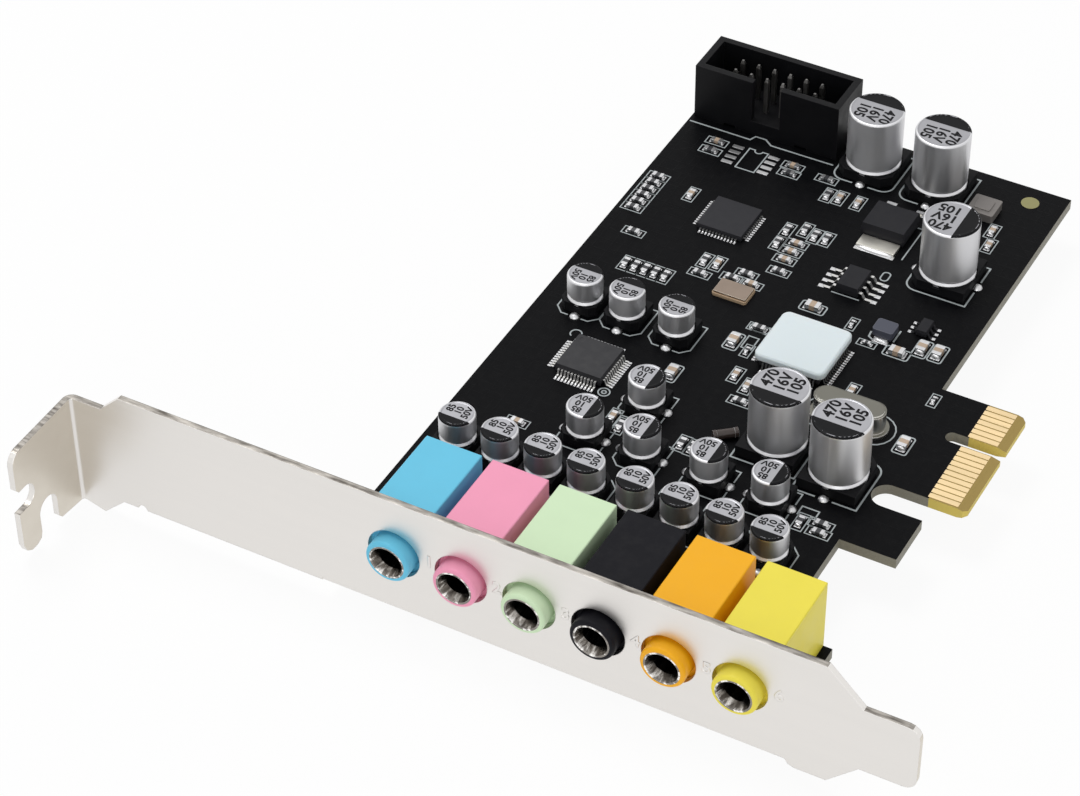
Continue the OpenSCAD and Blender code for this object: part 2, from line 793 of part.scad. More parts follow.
module large_cap_cans() { cans(large_caps, large_d, large_h); }
module large_cap_bases() { bases(large_caps, large_d); }
module large_cap_terminals() { terminals(large_caps, large_d); }
module front_cap_cans() { cans(front_caps, small_d, small_h); }
module front_cap_bases() { bases(front_caps, small_d); }
module front_cap_terminals() { terminals(front_caps, small_d); }
module middle_cap_cans() { cans(middle_caps, small_d, small_h); }
module middle_cap_bases() { bases(middle_caps, small_d); }
module middle_cap_terminals() { terminals(middle_caps, small_d); }
module rear_cap_cans() { cans(rear_caps, small_d, small_h); }
module rear_cap_bases() { bases(rear_caps, small_d); }
module rear_cap_terminals() { terminals(rear_caps, small_d); }

// Chips with leads

module square_chip(side) {
    translate([0, 0, 0.1]) difference() {
        moulded(side, side, chip_h - 0.1);
        translate([-side / 2 + 1, side / 2 - 1, chip_h - 0.15]) cylinder(d = 0.8, h = cut);
    }
}

// One gull-wing lead in the X-Z plane, from the body's side out to its foot
module lead(w, body_half, mid_h, span) {
    shoulder = span * 0.25;
    translate([body_half, -w / 2, 0]) upright(w) polygon([
        [0, mid_h], [shoulder, mid_h], [span * 0.5, lead_t], [span, lead_t], [span, 0],
        [span * 0.42, 0], [shoulder - 0.06, mid_h - lead_t], [0, mid_h - lead_t]
    ]);
}

module four_sided_leads(side, per_side, pitch, w, span) {
    for (turn = [0:90:270], i = [0:per_side - 1])
        rotate([0, 0, turn]) translate([0, (i - (per_side - 1) / 2) * pitch, 0])
            lead(w, side / 2, 0.1 + (chip_h - 0.1) / 2 + lead_t / 2, span);
}

module two_sided_leads(half, per_side, pitch, w, mid_h, span) {
    for (turn = [0, 180], i = [0:per_side - 1])
        rotate([0, 0, turn]) translate([0, (i - (per_side - 1) / 2) * pitch, 0])
            lead(w, half, mid_h, span);
}

module codec_chip() {
    color("#2b2b2f") framed() placed(codec_at) square_chip(small_chip);
}

module codec_leads() {
    color("#c9c7bd") framed() placed(codec_at) four_sided_leads(small_chip, 12, 0.5, 0.27, 1);
}

// A flat chip with short metal lands along its edges instead of legs
module converter_chip() {
    color("#38383c") framed() placed(converter_at)
        translate([0, 0, 0.05]) moulded(small_chip, small_chip, flat_chip_h, 0.05);
}

module converter_leads() {
    color("#c9c7bd") framed() placed(converter_at)
        for (turn = [0:90:270], i = [0:11])
            rotate([0, 0, turn]) translate([small_chip / 2, (i - 5.5) * 0.5, 0])
                bar([0, -0.14, 0], [0.4, 0.14, 0.35]);
}

module controller_chip() {
    color("#2b2b2f") framed() placed(controller_at) square_chip(large_chip);
}

module controller_leads() {
    color("#c9c7bd") framed() placed(controller_at)
        four_sided_leads(large_chip, controller_per_side, 0.5, 0.24, controller_span);
}

module thermal_pad() {
    corner = 1.1;
    edge = 0.25;
    half = pad_side / 2 - corner;
    color("#e2e9eb") framed() placed(controller_at) translate([0, 0, chip_h]) hull($fn = 32)
        for (sx = [-1, 1], sy = [-1, 1])
            translate([sx * half, sy * half, 0]) {
                cylinder(r = corner, h = pad_t - edge);
                cylinder(r = corner - edge, h = pad_t);
            }
}

module amplifier_chip() {
    color("#232327") framed() placed(amplifier_at)
        translate([0, 0, 0.12]) moulded(amplifier_w, 4.8, 1.5);
}

module amplifier_leads() {
    color("#c9c7bd") framed() placed(amplifier_at)
        two_sided_leads(amplifier_w / 2, 4, 1.33, 0.42, 0.94, 1.9);
}

module regulator_body() {
    color("#1f1f23") framed() placed(regulator_at) translate([0, 0.4, 0.12]) difference() {
        moulded(6.6, 5.9, 2.25, 0.18);
        translate([0, 2.95, 0]) cube([3, 0.5, 6], center = true);
    }
}

// The metal tab under the body and the two legs behind it
module regulator_tab() {
    color("#d0d0cc") framed() placed(regulator_at) {
        bar([-2.85, -4.95, 0], [2.85, -2.55, 0.5]);
        bar([-2.5, -2.55, 0], [2.5, 2.2, 0.12]);
        for (s = [-1, 1])
            translate([s * 2.28, 0, 0]) rotate([0, 0, 90]) lead(0.7, 3.35, 1.2, 2.2);
    }
}

module crystal_can() {
    can = [10.2, 3.7];
    rim = [11.2, 4.65];
    color("#bdb9b0") framed() placed(crystal_at) {
        linear_extrude(0.5) rounded_rect(rim, rim[1] / 2 - 0.01);
        linear_extrude(3.3) rounded_rect(can, can[1] / 2 - 0.01);
        linear_extrude(3.5) rounded_rect(can - [0.5, 0.5], can[1] / 2 - 0.26);
        for (s = [-1, 1])
            translate([s * 2.44, 0, -board_t - pin_tail + 0.3])
                cylinder(d = 0.45, h = board_t + pin_tail);
    }
}

module oscillator_base() {
    color("#c8b48c") framed() placed(oscillator_at) linear_extrude(0.45) difference() {
        square([5.2, 3.4], center = true);
        for (sx = [-1, 1], sy = [-1, 1])
            translate([sx * 2.6, sy * 1.7]) circle(0.2);
    }
}

module oscillator_lid() {
    color("#b59a80") framed() placed(oscillator_at) translate([0, 0, 0.45])
        linear_extrude(0.3) rounded_rect([4.9, 3], 0.12);
}

module power_inductor() {
    color("#2d2d34") framed() placed(inductor_at) {
        linear_extrude(0.5) rounded_rect([2.5, 2], 0.3);
        translate([0, 0, 0.5]) linear_extrude(1.1) rounded_rect([3, 2.5], 0.4);
    }
}

module switch_chip() {
    color("#26262a") framed() placed(switch_at) {
        translate([0, 0, 0.08]) moulded(1.6, 2.9, 1, 0.08);
        two_sided_leads(0.79, 3, 1, 0.35, 0.62, 0.76);
    }
}

module choke() {
    color("#a19792") framed() placed(choke_at) {
        linear_extrude(1.3) rounded_rect([4, 4], 0.3);
        linear_extrude(1.5) rounded_rect([2.4, 2.4], 0.3);
    }
}

// A round diode with metal end caps, laid a little askew
module diode() {
    color("#3a3430") framed() placed(diode_at, diode_turn) translate([-1.7, 0, 0.72]) rotate([0, 90, 0]) {
        cylinder(d = 1.44, h = 0.5);
        translate([0, 0, 0.5]) cylinder(d = 1.36, h = 2.4);
        translate([0, 0, 2.9]) cylinder(d = 1.44, h = 0.5);
    }
}

// Small chip parts: a ceramic body between two wrapped metal ends

module chip_bodies(list) {
    for (c = list) {
        size = chip_sizes[c[3]];
        cap = size[0] * end_cap_share;
        placed(c, c[2])
            bar([-size[0] / 2 + cap, -size[1] / 2, end_cap_wrap], [size[0] / 2 - cap, size[1] / 2, size[2]]);
    }
}

module chip_resistors() {
    color("#1d1d20") framed() chip_bodies(resistors);
}

module chip_capacitors() {
    color("#b08a68") framed() chip_bodies(capacitors);
}

module chip_end_caps() {
    color("#d4d6d8") framed() for (c = concat(resistors, capacitors)) {
        size = chip_sizes[c[3]] + [0, 2 * end_cap_wrap, end_cap_wrap];
        cap = size[0] * end_cap_share;
        for (turn = [0, 180])
            placed(c, c[2] + turn)
                bar([size[0] / 2 - cap, -size[1] / 2, 0], [size[0] / 2, size[1] / 2, size[2]]);
    }
}

board();
edge_contacts_top();
edge_contacts_bottom();
bare_pads();
solder_joints();
bracket();
bracket_screw();
blue_jack_housing();
pink_jack_housing();
green_jack_housing();
black_jack_housing();
orange_jack_housing();
yellow_jack_housing();
blue_jack_sleeve();
pink_jack_sleeve();
green_jack_sleeve();
black_jack_sleeve();
orange_jack_sleeve();
yellow_jack_sleeve();
blue_jack_contacts();
pink_jack_contacts();
green_jack_contacts();
black_jack_contacts();
orange_jack_contacts();
yellow_jack_contacts();
header_shroud();
header_pins();
large_cap_cans();
large_cap_bases();
large_cap_terminals();
front_cap_cans();
front_cap_bases();
front_cap_terminals();
middle_cap_cans();
middle_cap_bases();
middle_cap_terminals();
rear_cap_cans();
rear_cap_bases();
rear_cap_terminals();
codec_chip();
codec_leads();
converter_chip();
converter_leads();
controller_chip();
controller_leads();
thermal_pad();
amplifier_chip();
amplifier_leads();
regulator_body();
regulator_tab();
crystal_can();
oscillator_base();
oscillator_lid();
power_inductor();
switch_chip();
choke();
diode();
chip_resistors();
chip_capacitors();
chip_end_caps();
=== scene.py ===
# %% [markdown]
# # A sound card, from plain solids to a finished look
# The solids of this card are ready: board, bracket, jacks, capacitors and chips, each one a named node.
# This lesson gives each of them the finish that it has on a real card, and adds what is too thin for a
# solid: printed lines, solder, stamped figures and the black marks on the capacitors. First the solids are
# loaded and their box is kept.

# %% Load the solids
import math
import bpy
from mathutils import Matrix, Vector


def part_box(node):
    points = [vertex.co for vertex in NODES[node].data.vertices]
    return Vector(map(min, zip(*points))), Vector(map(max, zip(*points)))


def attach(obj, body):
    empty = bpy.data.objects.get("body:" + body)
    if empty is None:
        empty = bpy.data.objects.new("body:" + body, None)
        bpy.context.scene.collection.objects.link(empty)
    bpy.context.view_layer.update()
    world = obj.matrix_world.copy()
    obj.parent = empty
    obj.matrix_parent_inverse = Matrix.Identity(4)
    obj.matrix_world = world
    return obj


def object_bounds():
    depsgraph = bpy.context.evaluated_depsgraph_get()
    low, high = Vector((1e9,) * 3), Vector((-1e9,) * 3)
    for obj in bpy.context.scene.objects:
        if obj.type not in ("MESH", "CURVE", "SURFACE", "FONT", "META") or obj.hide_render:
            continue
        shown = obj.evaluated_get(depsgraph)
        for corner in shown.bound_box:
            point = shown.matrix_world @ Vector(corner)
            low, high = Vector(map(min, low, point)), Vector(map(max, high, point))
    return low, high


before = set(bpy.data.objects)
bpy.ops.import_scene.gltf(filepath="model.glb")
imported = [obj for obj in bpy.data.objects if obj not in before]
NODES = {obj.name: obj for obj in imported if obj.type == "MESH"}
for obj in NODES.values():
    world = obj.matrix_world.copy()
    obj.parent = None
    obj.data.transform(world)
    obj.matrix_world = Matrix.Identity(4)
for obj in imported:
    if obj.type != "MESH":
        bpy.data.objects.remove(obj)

cad_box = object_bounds()
MM = 0.001
print(len(NODES), "solids; size in mm:", [round((b - a) / MM, 2) for a, b in zip(*cad_box)])

# %% [markdown]
# ## The camera
# The camera comes first, because it decides how much detail each piece needs. It looks down from the front
# right through a long lens, as in a product picture. An angle, a height, a small roll and a target say the
# same as a matrix would, and they are easier to read and to change.

# %% Place the camera
AZIMUTH = math.radians(28.972)
ELEVATION = math.radians(41.683)
ROLL = math.radians(-0.544)
TARGET = Vector((4.593, -40.451, 37.811)) * MM
DISTANCE = 400 * MM
SENSOR_WIDTH = 36
LENS = 111.468

back = Vector((math.sin(AZIMUTH) * math.cos(ELEVATION), -math.cos(AZIMUTH) * math.cos(ELEVATION),
               math.sin(ELEVATION)))
right = Vector((0, 0, 1)).cross(back).normalized()
above = back.cross(right)
turned_right = right * math.cos(ROLL) + above * math.sin(ROLL)
turned_above = above * math.cos(ROLL) - right * math.sin(ROLL)
camera = bpy.data.objects.new("camera", bpy.data.cameras.new("camera"))
bpy.context.scene.collection.objects.link(camera)
camera.matrix_world = (Matrix.Translation(TARGET + back * DISTANCE)
                       @ Matrix((turned_right, turned_above, back)).transposed().to_4x4())
camera.data.sensor_width = SENSOR_WIDTH
camera.data.lens = LENS
camera.data.clip_start = 10 * MM
bpy.context.scene.camera = camera
print("lens", round(camera.data.lens, 1), "mm")

# %% [markdown]
# ## A white background that lights gently
# A product picture has a pure white background. If that white also lit the card, it would wash out every
# colour. So the background is white only for rays that come from the camera or from a mirror-like surface,
# and a weaker grey for the light that falls on the card. A colour then looks as it is written.

# %% Make the background
WHITE = (1, 1, 1, 1)
ROOM_LIGHT = 0.5
scene = bpy.context.scene
scene.view_settings.view_transform = "Standard"


def seen_directly(tree):
    """A value that is 1 for camera, mirror and glass rays, and 0 for the light that falls on surfaces."""
    rays = tree.nodes.new("ShaderNodeLightPath")
    first = tree.nodes.new("ShaderNodeMath")
    second = tree.nodes.new("ShaderNodeMath")
    first.operation = second.operation = "MAXIMUM"
    tree.links.new(rays.outputs["Is Camera Ray"], first.inputs[0])
    tree.links.new(rays.outputs["Is Glossy Ray"], first.inputs[1])
    tree.links.new(first.outputs[0], second.inputs[0])
    tree.links.new(rays.outputs["Is Transmission Ray"], second.inputs[1])
    return second.outputs[0]


world = bpy.data.worlds.new("studio")
scene.world = world
world.use_nodes = True
tree = world.node_tree
lighting = tree.nodes["Background"]
lighting.inputs["Color"].default_value = WHITE
lighting.inputs["Strength"].default_value = ROOM_LIGHT
backdrop = tree.nodes.new("ShaderNodeBackground")
backdrop.inputs["Color"].default_value = WHITE
backdrop.inputs["Strength"].default_value = 1.0
chooser = tree.nodes.new("ShaderNodeMixShader")
tree.links.new(seen_directly(tree), chooser.inputs[0])
tree.links.new(lighting.outputs[0], chooser.inputs[1])
tree.links.new(backdrop.outputs[0], chooser.inputs[2])
tree.links.new(chooser.outputs[0], tree.nodes["World Output"].inputs["Surface"])
print("background ready, room light", ROOM_LIGHT)

# %% [markdown]
# ## Two lamps
# A small lamp would leave hard spots on metal. A wide disk of light above the card gives soft shadows and
# long reflections, and a second, weaker one from the front opens up the dark sides of the jacks and the
# header.

# %% Hang the lamps
def area_lamp(name, place, aim, size, watts):
    """A disk of light at a place in metres, turned towards its aim."""
    lamp = bpy.data.objects.new(name, bpy.data.lights.new(name, "AREA"))
    lamp.data.shape = "DISK"
    lamp.data.size = size
    lamp.data.energy = watts
    lamp.location = place
    lamp.rotation_euler = (Vector(place) - Vector(aim)).to_track_quat("Z", "Y").to_euler()
    scene.collection.objects.link(lamp)


area_lamp("main_lamp", (-0.30, 0.10, 0.75), (0, 0, 0), size=0.35, watts=2.6)
area_lamp("front_lamp", (0.25, -0.75, 0.40), (0, -0.03, 0), size=0.5, watts=1.2)
print("lamps:", len(bpy.data.lights))

# %% [markdown]
# ## The floor
# The card stands on a white ground and leaves only a faint shadow on it. A painted floor alone would turn
# grey away from the lamps, so most of what the camera sees of it glows white, and a small share is real
# paint that takes the shadow. It lies a hair below the card, so that the two never share a surface.

# %% Lay the floor
FLOOR_GLOW = 0.93
FLOOR_PAINT = (0.94, 0.94, 0.94, 1)
FLOOR_HALF = 3.0
FLOOR_GAP = 0.02
floor_material = bpy.data.materials.new("floor")
floor_material.use_nodes = True
tree = floor_material.node_tree
paint = tree.nodes["Principled BSDF"]
paint.inputs["Base Color"].default_value = FLOOR_PAINT
paint.inputs["Roughness"].default_value = 0.9
glow = tree.nodes.new("ShaderNodeEmission")
glow.inputs["Strength"].default_value = 1.0
share = tree.nodes.new("ShaderNodeMath")
share.operation = "MULTIPLY"
share.inputs[1].default_value = FLOOR_GLOW
chooser = tree.nodes.new("ShaderNodeMixShader")
tree.links.new(seen_directly(tree), share.inputs[0])
tree.links.new(share.outputs[0], chooser.inputs[0])
tree.links.new(paint.outputs[0], chooser.inputs[1])
tree.links.new(glow.outputs[0], chooser.inputs[2])
tree.links.new(chooser.outputs[0], tree.nodes["Material Output"].inputs["Surface"])
floor_mesh = bpy.data.meshes.new("floor")
floor_mesh.from_pydata([(-FLOOR_HALF, -FLOOR_HALF, 0), (FLOOR_HALF, -FLOOR_HALF, 0),
                        (FLOOR_HALF, FLOOR_HALF, 0), (-FLOOR_HALF, FLOOR_HALF, 0)], [], [(0, 1, 2, 3)])
floor_mesh.materials.append(floor_material)
floor = bpy.data.objects.new("floor", floor_mesh)
floor.location.z = cad_box[0].z - FLOOR_GAP * MM
scene.collection.objects.link(floor)
print("floor reaches", 2 * FLOOR_HALF, "m each way")

# %% [markdown]
# ## Shared effects
# Moulded plastic, sheet metal and resin all show the same few things close up: a fine grain, softened edges
# that catch the light, and a little dust on what faces up. Each effect is one node group with named inputs.
# A group is built once and placed in each material with its own values, which keeps all materials alike in
# structure and makes a change in one place reach all of them. Three helpers come first: one opens a group
# with its sockets, one does a sum, and one gives noise over the piece's own coordinates.

# %% Write helpers for node groups
def new_group(name, inputs, outputs):
    group = bpy.data.node_groups.new(name, "ShaderNodeTree")
    for label, kind, value in inputs:
        group.interface.new_socket(name=label, in_out="INPUT", socket_type=kind).default_value = value
    for label, kind in outputs:
        group.interface.new_socket(name=label, in_out="OUTPUT", socket_type=kind)
    return group, group.nodes.new("NodeGroupInput").outputs, group.nodes.new("NodeGroupOutput").inputs


def math_node(tree, operation, first, second, clamp=False):
    node = tree.nodes.new("ShaderNodeMath")
    node.operation = operation
    node.use_clamp = clamp
    for socket, value in zip(node.inputs, (first, second)):
        if isinstance(value, (int, float)):
            socket.default_value = value
        else:
            tree.links.new(value, socket)
    return node.outputs[0]


def object_noise(tree, stretch, scale, detail):
    """Noise over the piece's own coordinates, stretched along its axes."""
    place = tree.nodes.new("ShaderNodeTexCoord").outputs["Object"]
    product = tree.nodes.new("ShaderNodeVectorMath")
    product.operation = "MULTIPLY"
    tree.links.new(place, product.inputs[0])
    tree.links.new(stretch, product.inputs[1])
    noise = tree.nodes.new("ShaderNodeTexNoise")
    noise.inputs["Detail"].default_value = detail
    tree.links.new(product.outputs[0], noise.inputs["Vector"])
    tree.links.new(scale, noise.inputs["Scale"])
    return noise.outputs[0]


print("helpers ready")

# %% [markdown]
# ## Fine grain
# Grain is noise at two sizes: a fine one that makes the surface slightly rough to the touch, and one about
# seventeen times coarser that makes patches of colour and shine. An image could carry it too, but noise has
# no seams and fits every shape. The stretch turns grains into the lines of rolled or drawn metal.

# %% Build the grain group
PATCH_SCALE = 0.06
GRAIN, got, give = new_group(
    "fine grain",
    [("Scale", "NodeSocketFloat", 5000.0), ("Stretch", "NodeSocketVector", (1, 1, 1))],
    [("Height", "NodeSocketFloat"), ("Patches", "NodeSocketFloat")])
GRAIN.links.new(object_noise(GRAIN, got["Stretch"], got["Scale"], 3), give["Height"])
coarse = math_node(GRAIN, "MULTIPLY", got["Scale"], PATCH_SCALE)
GRAIN.links.new(object_noise(GRAIN, got["Stretch"], coarse, 4), give["Patches"])
print(GRAIN.name, "with", len(GRAIN.nodes), "nodes")

# %% [markdown]
# ## Soft edges
# No moulded or stamped part has a perfectly sharp edge, and the thin line of light on a rounded edge is
# what makes it look real. A bevel in the mesh would cost many faces on six hundred bodies. The bevel in the
# shader only turns the surface near an edge, and the amount of turning also tells where an edge is, which
# gives the mask for a painted highlight: a lighter colour along the edges.

# %% Build the edge group
EDGES, got, give = new_group(
    "soft edges",
    [("Radius", "NodeSocketFloat", 0.0001), ("Contrast", "NodeSocketFloat", 4.0)],
    [("Mask", "NodeSocketFloat"), ("Normal", "NodeSocketVector")])
rounding = EDGES.nodes.new("ShaderNodeBevel")
rounding.samples = 6
EDGES.links.new(got["Radius"], rounding.inputs["Radius"])
facing = EDGES.nodes.new("ShaderNodeVectorMath")
facing.operation = "DOT_PRODUCT"
EDGES.links.new(rounding.outputs[0], facing.inputs[0])
EDGES.links.new(EDGES.nodes.new("ShaderNodeNewGeometry").outputs["Normal"], facing.inputs[1])
turned = math_node(EDGES, "SUBTRACT", 1.0, facing.outputs["Value"])
EDGES.links.new(math_node(EDGES, "MULTIPLY", turned, got["Contrast"], clamp=True), give["Mask"])
EDGES.links.new(rounding.outputs[0], give["Normal"])
print(EDGES.name, "with", len(EDGES.nodes), "nodes")

# %% [markdown]
# ## Settled dust
# Dust lies on what faces up, in loose specks. The upward part of the surface's direction is multiplied by
# noise that is cut off below a level, so that specks stay apart and walls stay clean.

# %% Build the dust group
SPECK_LEVEL = 0.45
SPECK_CONTRAST = 4.0
DUST, got, give = new_group(
    "settled dust", [("Amount", "NodeSocketFloat", 0.1), ("Scale", "NodeSocketFloat", 900.0)],
    [("Mask", "NodeSocketFloat")])
normal = DUST.nodes.new("ShaderNodeSeparateXYZ")
DUST.links.new(DUST.nodes.new("ShaderNodeNewGeometry").outputs["Normal"], normal.inputs[0])
even = DUST.nodes.new("ShaderNodeCombineXYZ")
for socket in even.inputs:
    socket.default_value = 1.0
specks = object_noise(DUST, even.outputs[0], got["Scale"], 6)
specks = math_node(DUST, "SUBTRACT", specks, SPECK_LEVEL, clamp=True)
specks = math_node(DUST, "MULTIPLY", specks, SPECK_CONTRAST, clamp=True)
upward = math_node(DUST, "MULTIPLY", specks, math_node(DUST, "MAXIMUM", normal.outputs["Z"], 0.0))
DUST.links.new(math_node(DUST, "MULTIPLY", upward, got["Amount"]), give["Mask"])
print("groups:", [g.name for g in bpy.data.node_groups])

# %% [markdown]
# ## One recipe for all finishes
# Every finish on the card can be told in the same words: a colour, how rough it is, how coarse its grain
# is, how much its edges are rounded and how strong the painted highlight along them is, and how dusty it
# gets. One function turns these words into nodes. Values that are the same all over the surface are set on
# the shader itself; only what changes from place to place goes through nodes. The small helpers place a
# group, mix two colours, and widen the narrow range of a noise to the range that is wanted.

# %% Write helpers for materials
def place_group(tree, group, **values):
    node = tree.nodes.new("ShaderNodeGroup")
    node.node_tree = group
    for label, value in values.items():
        node.inputs[label].default_value = value
    return node.outputs


def mix_colours(tree, share, first, second):
    node = tree.nodes.new("ShaderNodeMix")
    node.data_type = "RGBA"
    for socket, value in ((node.inputs[0], share), (node.inputs[6], first), (node.inputs[7], second)):
        if isinstance(value, bpy.types.NodeSocket):
            tree.links.new(value, socket)
        else:
            socket.default_value = value
    return node.outputs[2]


NOISE_LOW, NOISE_HIGH = 0.3, 0.7


def spread(tree, value, low, high):
    """Widens a noise, whose values lie mostly between its low and its high, to another range."""
    node = tree.nodes.new("ShaderNodeMapRange")
    node.inputs["From Min"].default_value = NOISE_LOW
    node.inputs["From Max"].default_value = NOISE_HIGH
    node.inputs["To Min"].default_value = low
    node.inputs["To Max"].default_value = high
    tree.links.new(value, node.inputs["Value"])
    return node.outputs["Result"]


def shade(colour, factor):
    return tuple(min(1.0, c * factor) for c in colour) + (1,)


print("helpers ready")

# %% Write the recipe
DUST_COLOUR = (0.42, 0.41, 0.39, 1)


def finish(name, colour, roughness, metallic=0.0, grain=6000.0, relief=0.002, tone=0.06, stretch=(1, 1, 1),
           edge=0.06, edge_colour=None, edge_highlight_contrast=3.0, dust=0.0, fixed=None):
    """A finish in plain words. Lengths are millimetres, grain is in patches per metre."""
    material = bpy.data.materials.new(name)
    material.use_nodes = True
    tree = material.node_tree
    shader = tree.nodes["Principled BSDF"]
    shader.inputs["Metallic"].default_value = metallic
    for label, value in (fixed or {}).items():
        shader.inputs[label].default_value = value
    fine = place_group(tree, GRAIN, Scale=grain, Stretch=stretch)
    edges = place_group(tree, EDGES, Radius=edge * MM, Contrast=edge_highlight_contrast)
    surface = mix_colours(tree, fine["Patches"], shade(colour, 1 - tone), shade(colour, 1 + tone))
    # Painted highlight: edges get a lighter colour, by default a quarter brighter than the surface.
    surface = mix_colours(tree, edges["Mask"], surface, (edge_colour or shade(colour, 1.25)[:3]) + (1,))
    if dust:
        specks = place_group(tree, DUST, Amount=dust)
        surface = mix_colours(tree, specks["Mask"], surface, DUST_COLOUR)
    tree.links.new(surface, shader.inputs["Base Color"])
    tree.links.new(spread(tree, fine["Patches"], roughness * 0.85, min(1, roughness * 1.15)),
                   shader.inputs["Roughness"])
    bump = tree.nodes.new("ShaderNodeBump")
    bump.inputs["Strength"].default_value = 1.0
    bump.inputs["Distance"].default_value = relief * MM
    tree.links.new(fine["Height"], bump.inputs["Height"])
    tree.links.new(edges["Normal"], bump.inputs["Normal"])
    tree.links.new(bump.outputs[0], shader.inputs["Normal"])
    return material


def dress(material, *names):
    for name in names:
        mesh = NODES[name].data
        mesh.materials.clear()
        mesh.materials.append(material)
    print(material.name, "on", len(names), "solids")


print("recipe ready")

# %% [markdown]
# ## Tints by direction and by place
# Some pieces get a second colour that is painted light and shade: a painted reflection with highlights on
# the cut edge of a sheet, a painted reflection on the flat top of a can, painted shade in the depth of a
# bore. These could be separate faces with a material each. The direction of the surface, or its place along
# an axis, finds them just as well and keeps one material for the piece.

# %% Write the tints
PATCH_GRAIN = 18000
PATCH_STRETCH = (0.3, 1.5, 1)


def tint_facing(material, axis, limit, colour, second=None):
    """Gives what faces along an axis another colour, or patches of two other colours."""
    tree = material.node_tree
    base = tree.nodes["Principled BSDF"].inputs["Base Color"]
    normal = tree.nodes.new("ShaderNodeSeparateXYZ")
    tree.links.new(tree.nodes.new("ShaderNodeNewGeometry").outputs["Normal"], normal.inputs[0])
    facing = math_node(tree, "GREATER_THAN", normal.outputs[axis], limit)
    tint = colour + (1,)
    if second:
        patches = place_group(tree, GRAIN, Scale=PATCH_GRAIN, Stretch=PATCH_STRETCH)["Patches"]
        tint = mix_colours(tree, spread(tree, patches, 0, 1), tint, second + (1,))
    tree.links.new(mix_colours(tree, facing, base.links[0].from_socket, tint), base)


def tint_beyond(material, axis, start, reach, colour):
    """Fades to another colour along an axis, from one place on, over a reach in metres."""
    tree = material.node_tree
    base = tree.nodes["Principled BSDF"].inputs["Base Color"]
    place = tree.nodes.new("ShaderNodeSeparateXYZ")
    tree.links.new(tree.nodes.new("ShaderNodeTexCoord").outputs["Object"], place.inputs[0])
    past = math_node(tree, "SUBTRACT", place.outputs[axis], start)
    share = math_node(tree, "DIVIDE", past, reach, clamp=True)
    tree.links.new(mix_colours(tree, share, base.links[0].from_socket, colour + (1,)), base)


print("tints ready")

# %% [markdown]
# ## Copper tracks
# Under the lacquer run copper tracks, and the lacquer follows them as a faint relief. Their real course
# isn't known, so a brick pattern stands in for it: its joints are straight runs, and three layers at
# different angles give runs along, across and aslant, as on a real board.

# %% Build the track group
RUN_IN_PITCHES = 3.7
TRACKS, got, give = new_group(
    "copper tracks", [("Pitch", "NodeSocketFloat", 0.0024)], [("Height", "NodeSocketFloat")])


def track_layer(tree, angle, pitch, width):
    """Straight runs of brick pattern, whose joints stand for tracks at one angle."""
    turn = tree.nodes.new("ShaderNodeVectorRotate")
    turn.inputs["Angle"].default_value = angle
    tree.links.new(tree.nodes.new("ShaderNodeTexCoord").outputs["Object"], turn.inputs["Vector"])
    bricks = tree.nodes.new("ShaderNodeTexBrick")
    bricks.inputs["Scale"].default_value = 1.0
    bricks.inputs["Color1"].default_value = bricks.inputs["Color2"].default_value = (0, 0, 0, 1)
    bricks.inputs["Mortar"].default_value = (1, 1, 1, 1)
    bricks.inputs["Mortar Size"].default_value = width
    tree.links.new(math_node(tree, "MULTIPLY", pitch, RUN_IN_PITCHES), bricks.inputs["Brick Width"])
    tree.links.new(pitch, bricks.inputs["Row Height"])
    tree.links.new(turn.outputs[0], bricks.inputs["Vector"])
    return bricks.outputs["Color"]


along = track_layer(TRACKS, angle=0.0, pitch=got["Pitch"], width=0.00012)
across = track_layer(TRACKS, angle=math.pi / 2, pitch=got["Pitch"], width=0.0001)
slanted = track_layer(TRACKS, angle=math.pi / 4, pitch=got["Pitch"], width=0.00008)
TRACKS.links.new(math_node(TRACKS, "MAXIMUM", math_node(TRACKS, "MAXIMUM", along, across), slanted),
                 give["Height"])
print(TRACKS.name, "with", len(TRACKS.nodes), "nodes")

# %% [markdown]
# ## The board
# A circuit board is glass fibre and resin under a skin of black lacquer. Where it is cut, the raw layers
# show. The direction of the surface tells the two apart: what faces up or down is lacquer, and what faces
# sideways is the raw edge. The connector tongue has no lacquer, so past its start the bare laminate shows,
# and its bevel is yellow.

# %% Finish of the board
LACQUER = (0.0028, 0.0029, 0.0036)
BARE_EDGE = (0.30, 0.285, 0.235)
LAMINATE = (0.40, 0.29, 0.10)
BEVEL_YELLOW = (0.78, 0.62, 0.16, 1)
TONGUE_START = 63.66
TONGUE_FRONT = 44.0
SIDEWAYS = 0.93
TRACK_RELIEF = 0.012
BOARD_LOW, BOARD_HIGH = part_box("board")
lacquer = finish("black lacquer on board", LACQUER, 0.40, grain=9000, relief=0.0008, tone=0.15, edge=0.05,
                 edge_colour=(0.02, 0.02, 0.022), edge_highlight_contrast=2.0, dust=0.004,
                 fixed={"Specular IOR Level": 0.05})
tree = lacquer.node_tree
shader = tree.nodes["Principled BSDF"]
normal = tree.nodes.new("ShaderNodeSeparateXYZ")
tree.links.new(tree.nodes.new("ShaderNodeNewGeometry").outputs["Normal"], normal.inputs[0])
sideways = math_node(tree, "LESS_THAN", math_node(tree, "ABSOLUTE", normal.outputs["Z"], 0.0), SIDEWAYS)
fibres = place_group(tree, GRAIN, Scale=4000, Stretch=(1, 1, 5))
edge_colour = mix_colours(tree, fibres["Height"], shade(BARE_EDGE, 0.6), shade(BARE_EDGE, 1.35))
lacquered = shader.inputs["Base Color"].links[0].from_socket
where = tree.nodes.new("ShaderNodeSeparateXYZ")
tree.links.new(tree.nodes.new("ShaderNodeTexCoord").outputs["Object"], where.inputs[0])
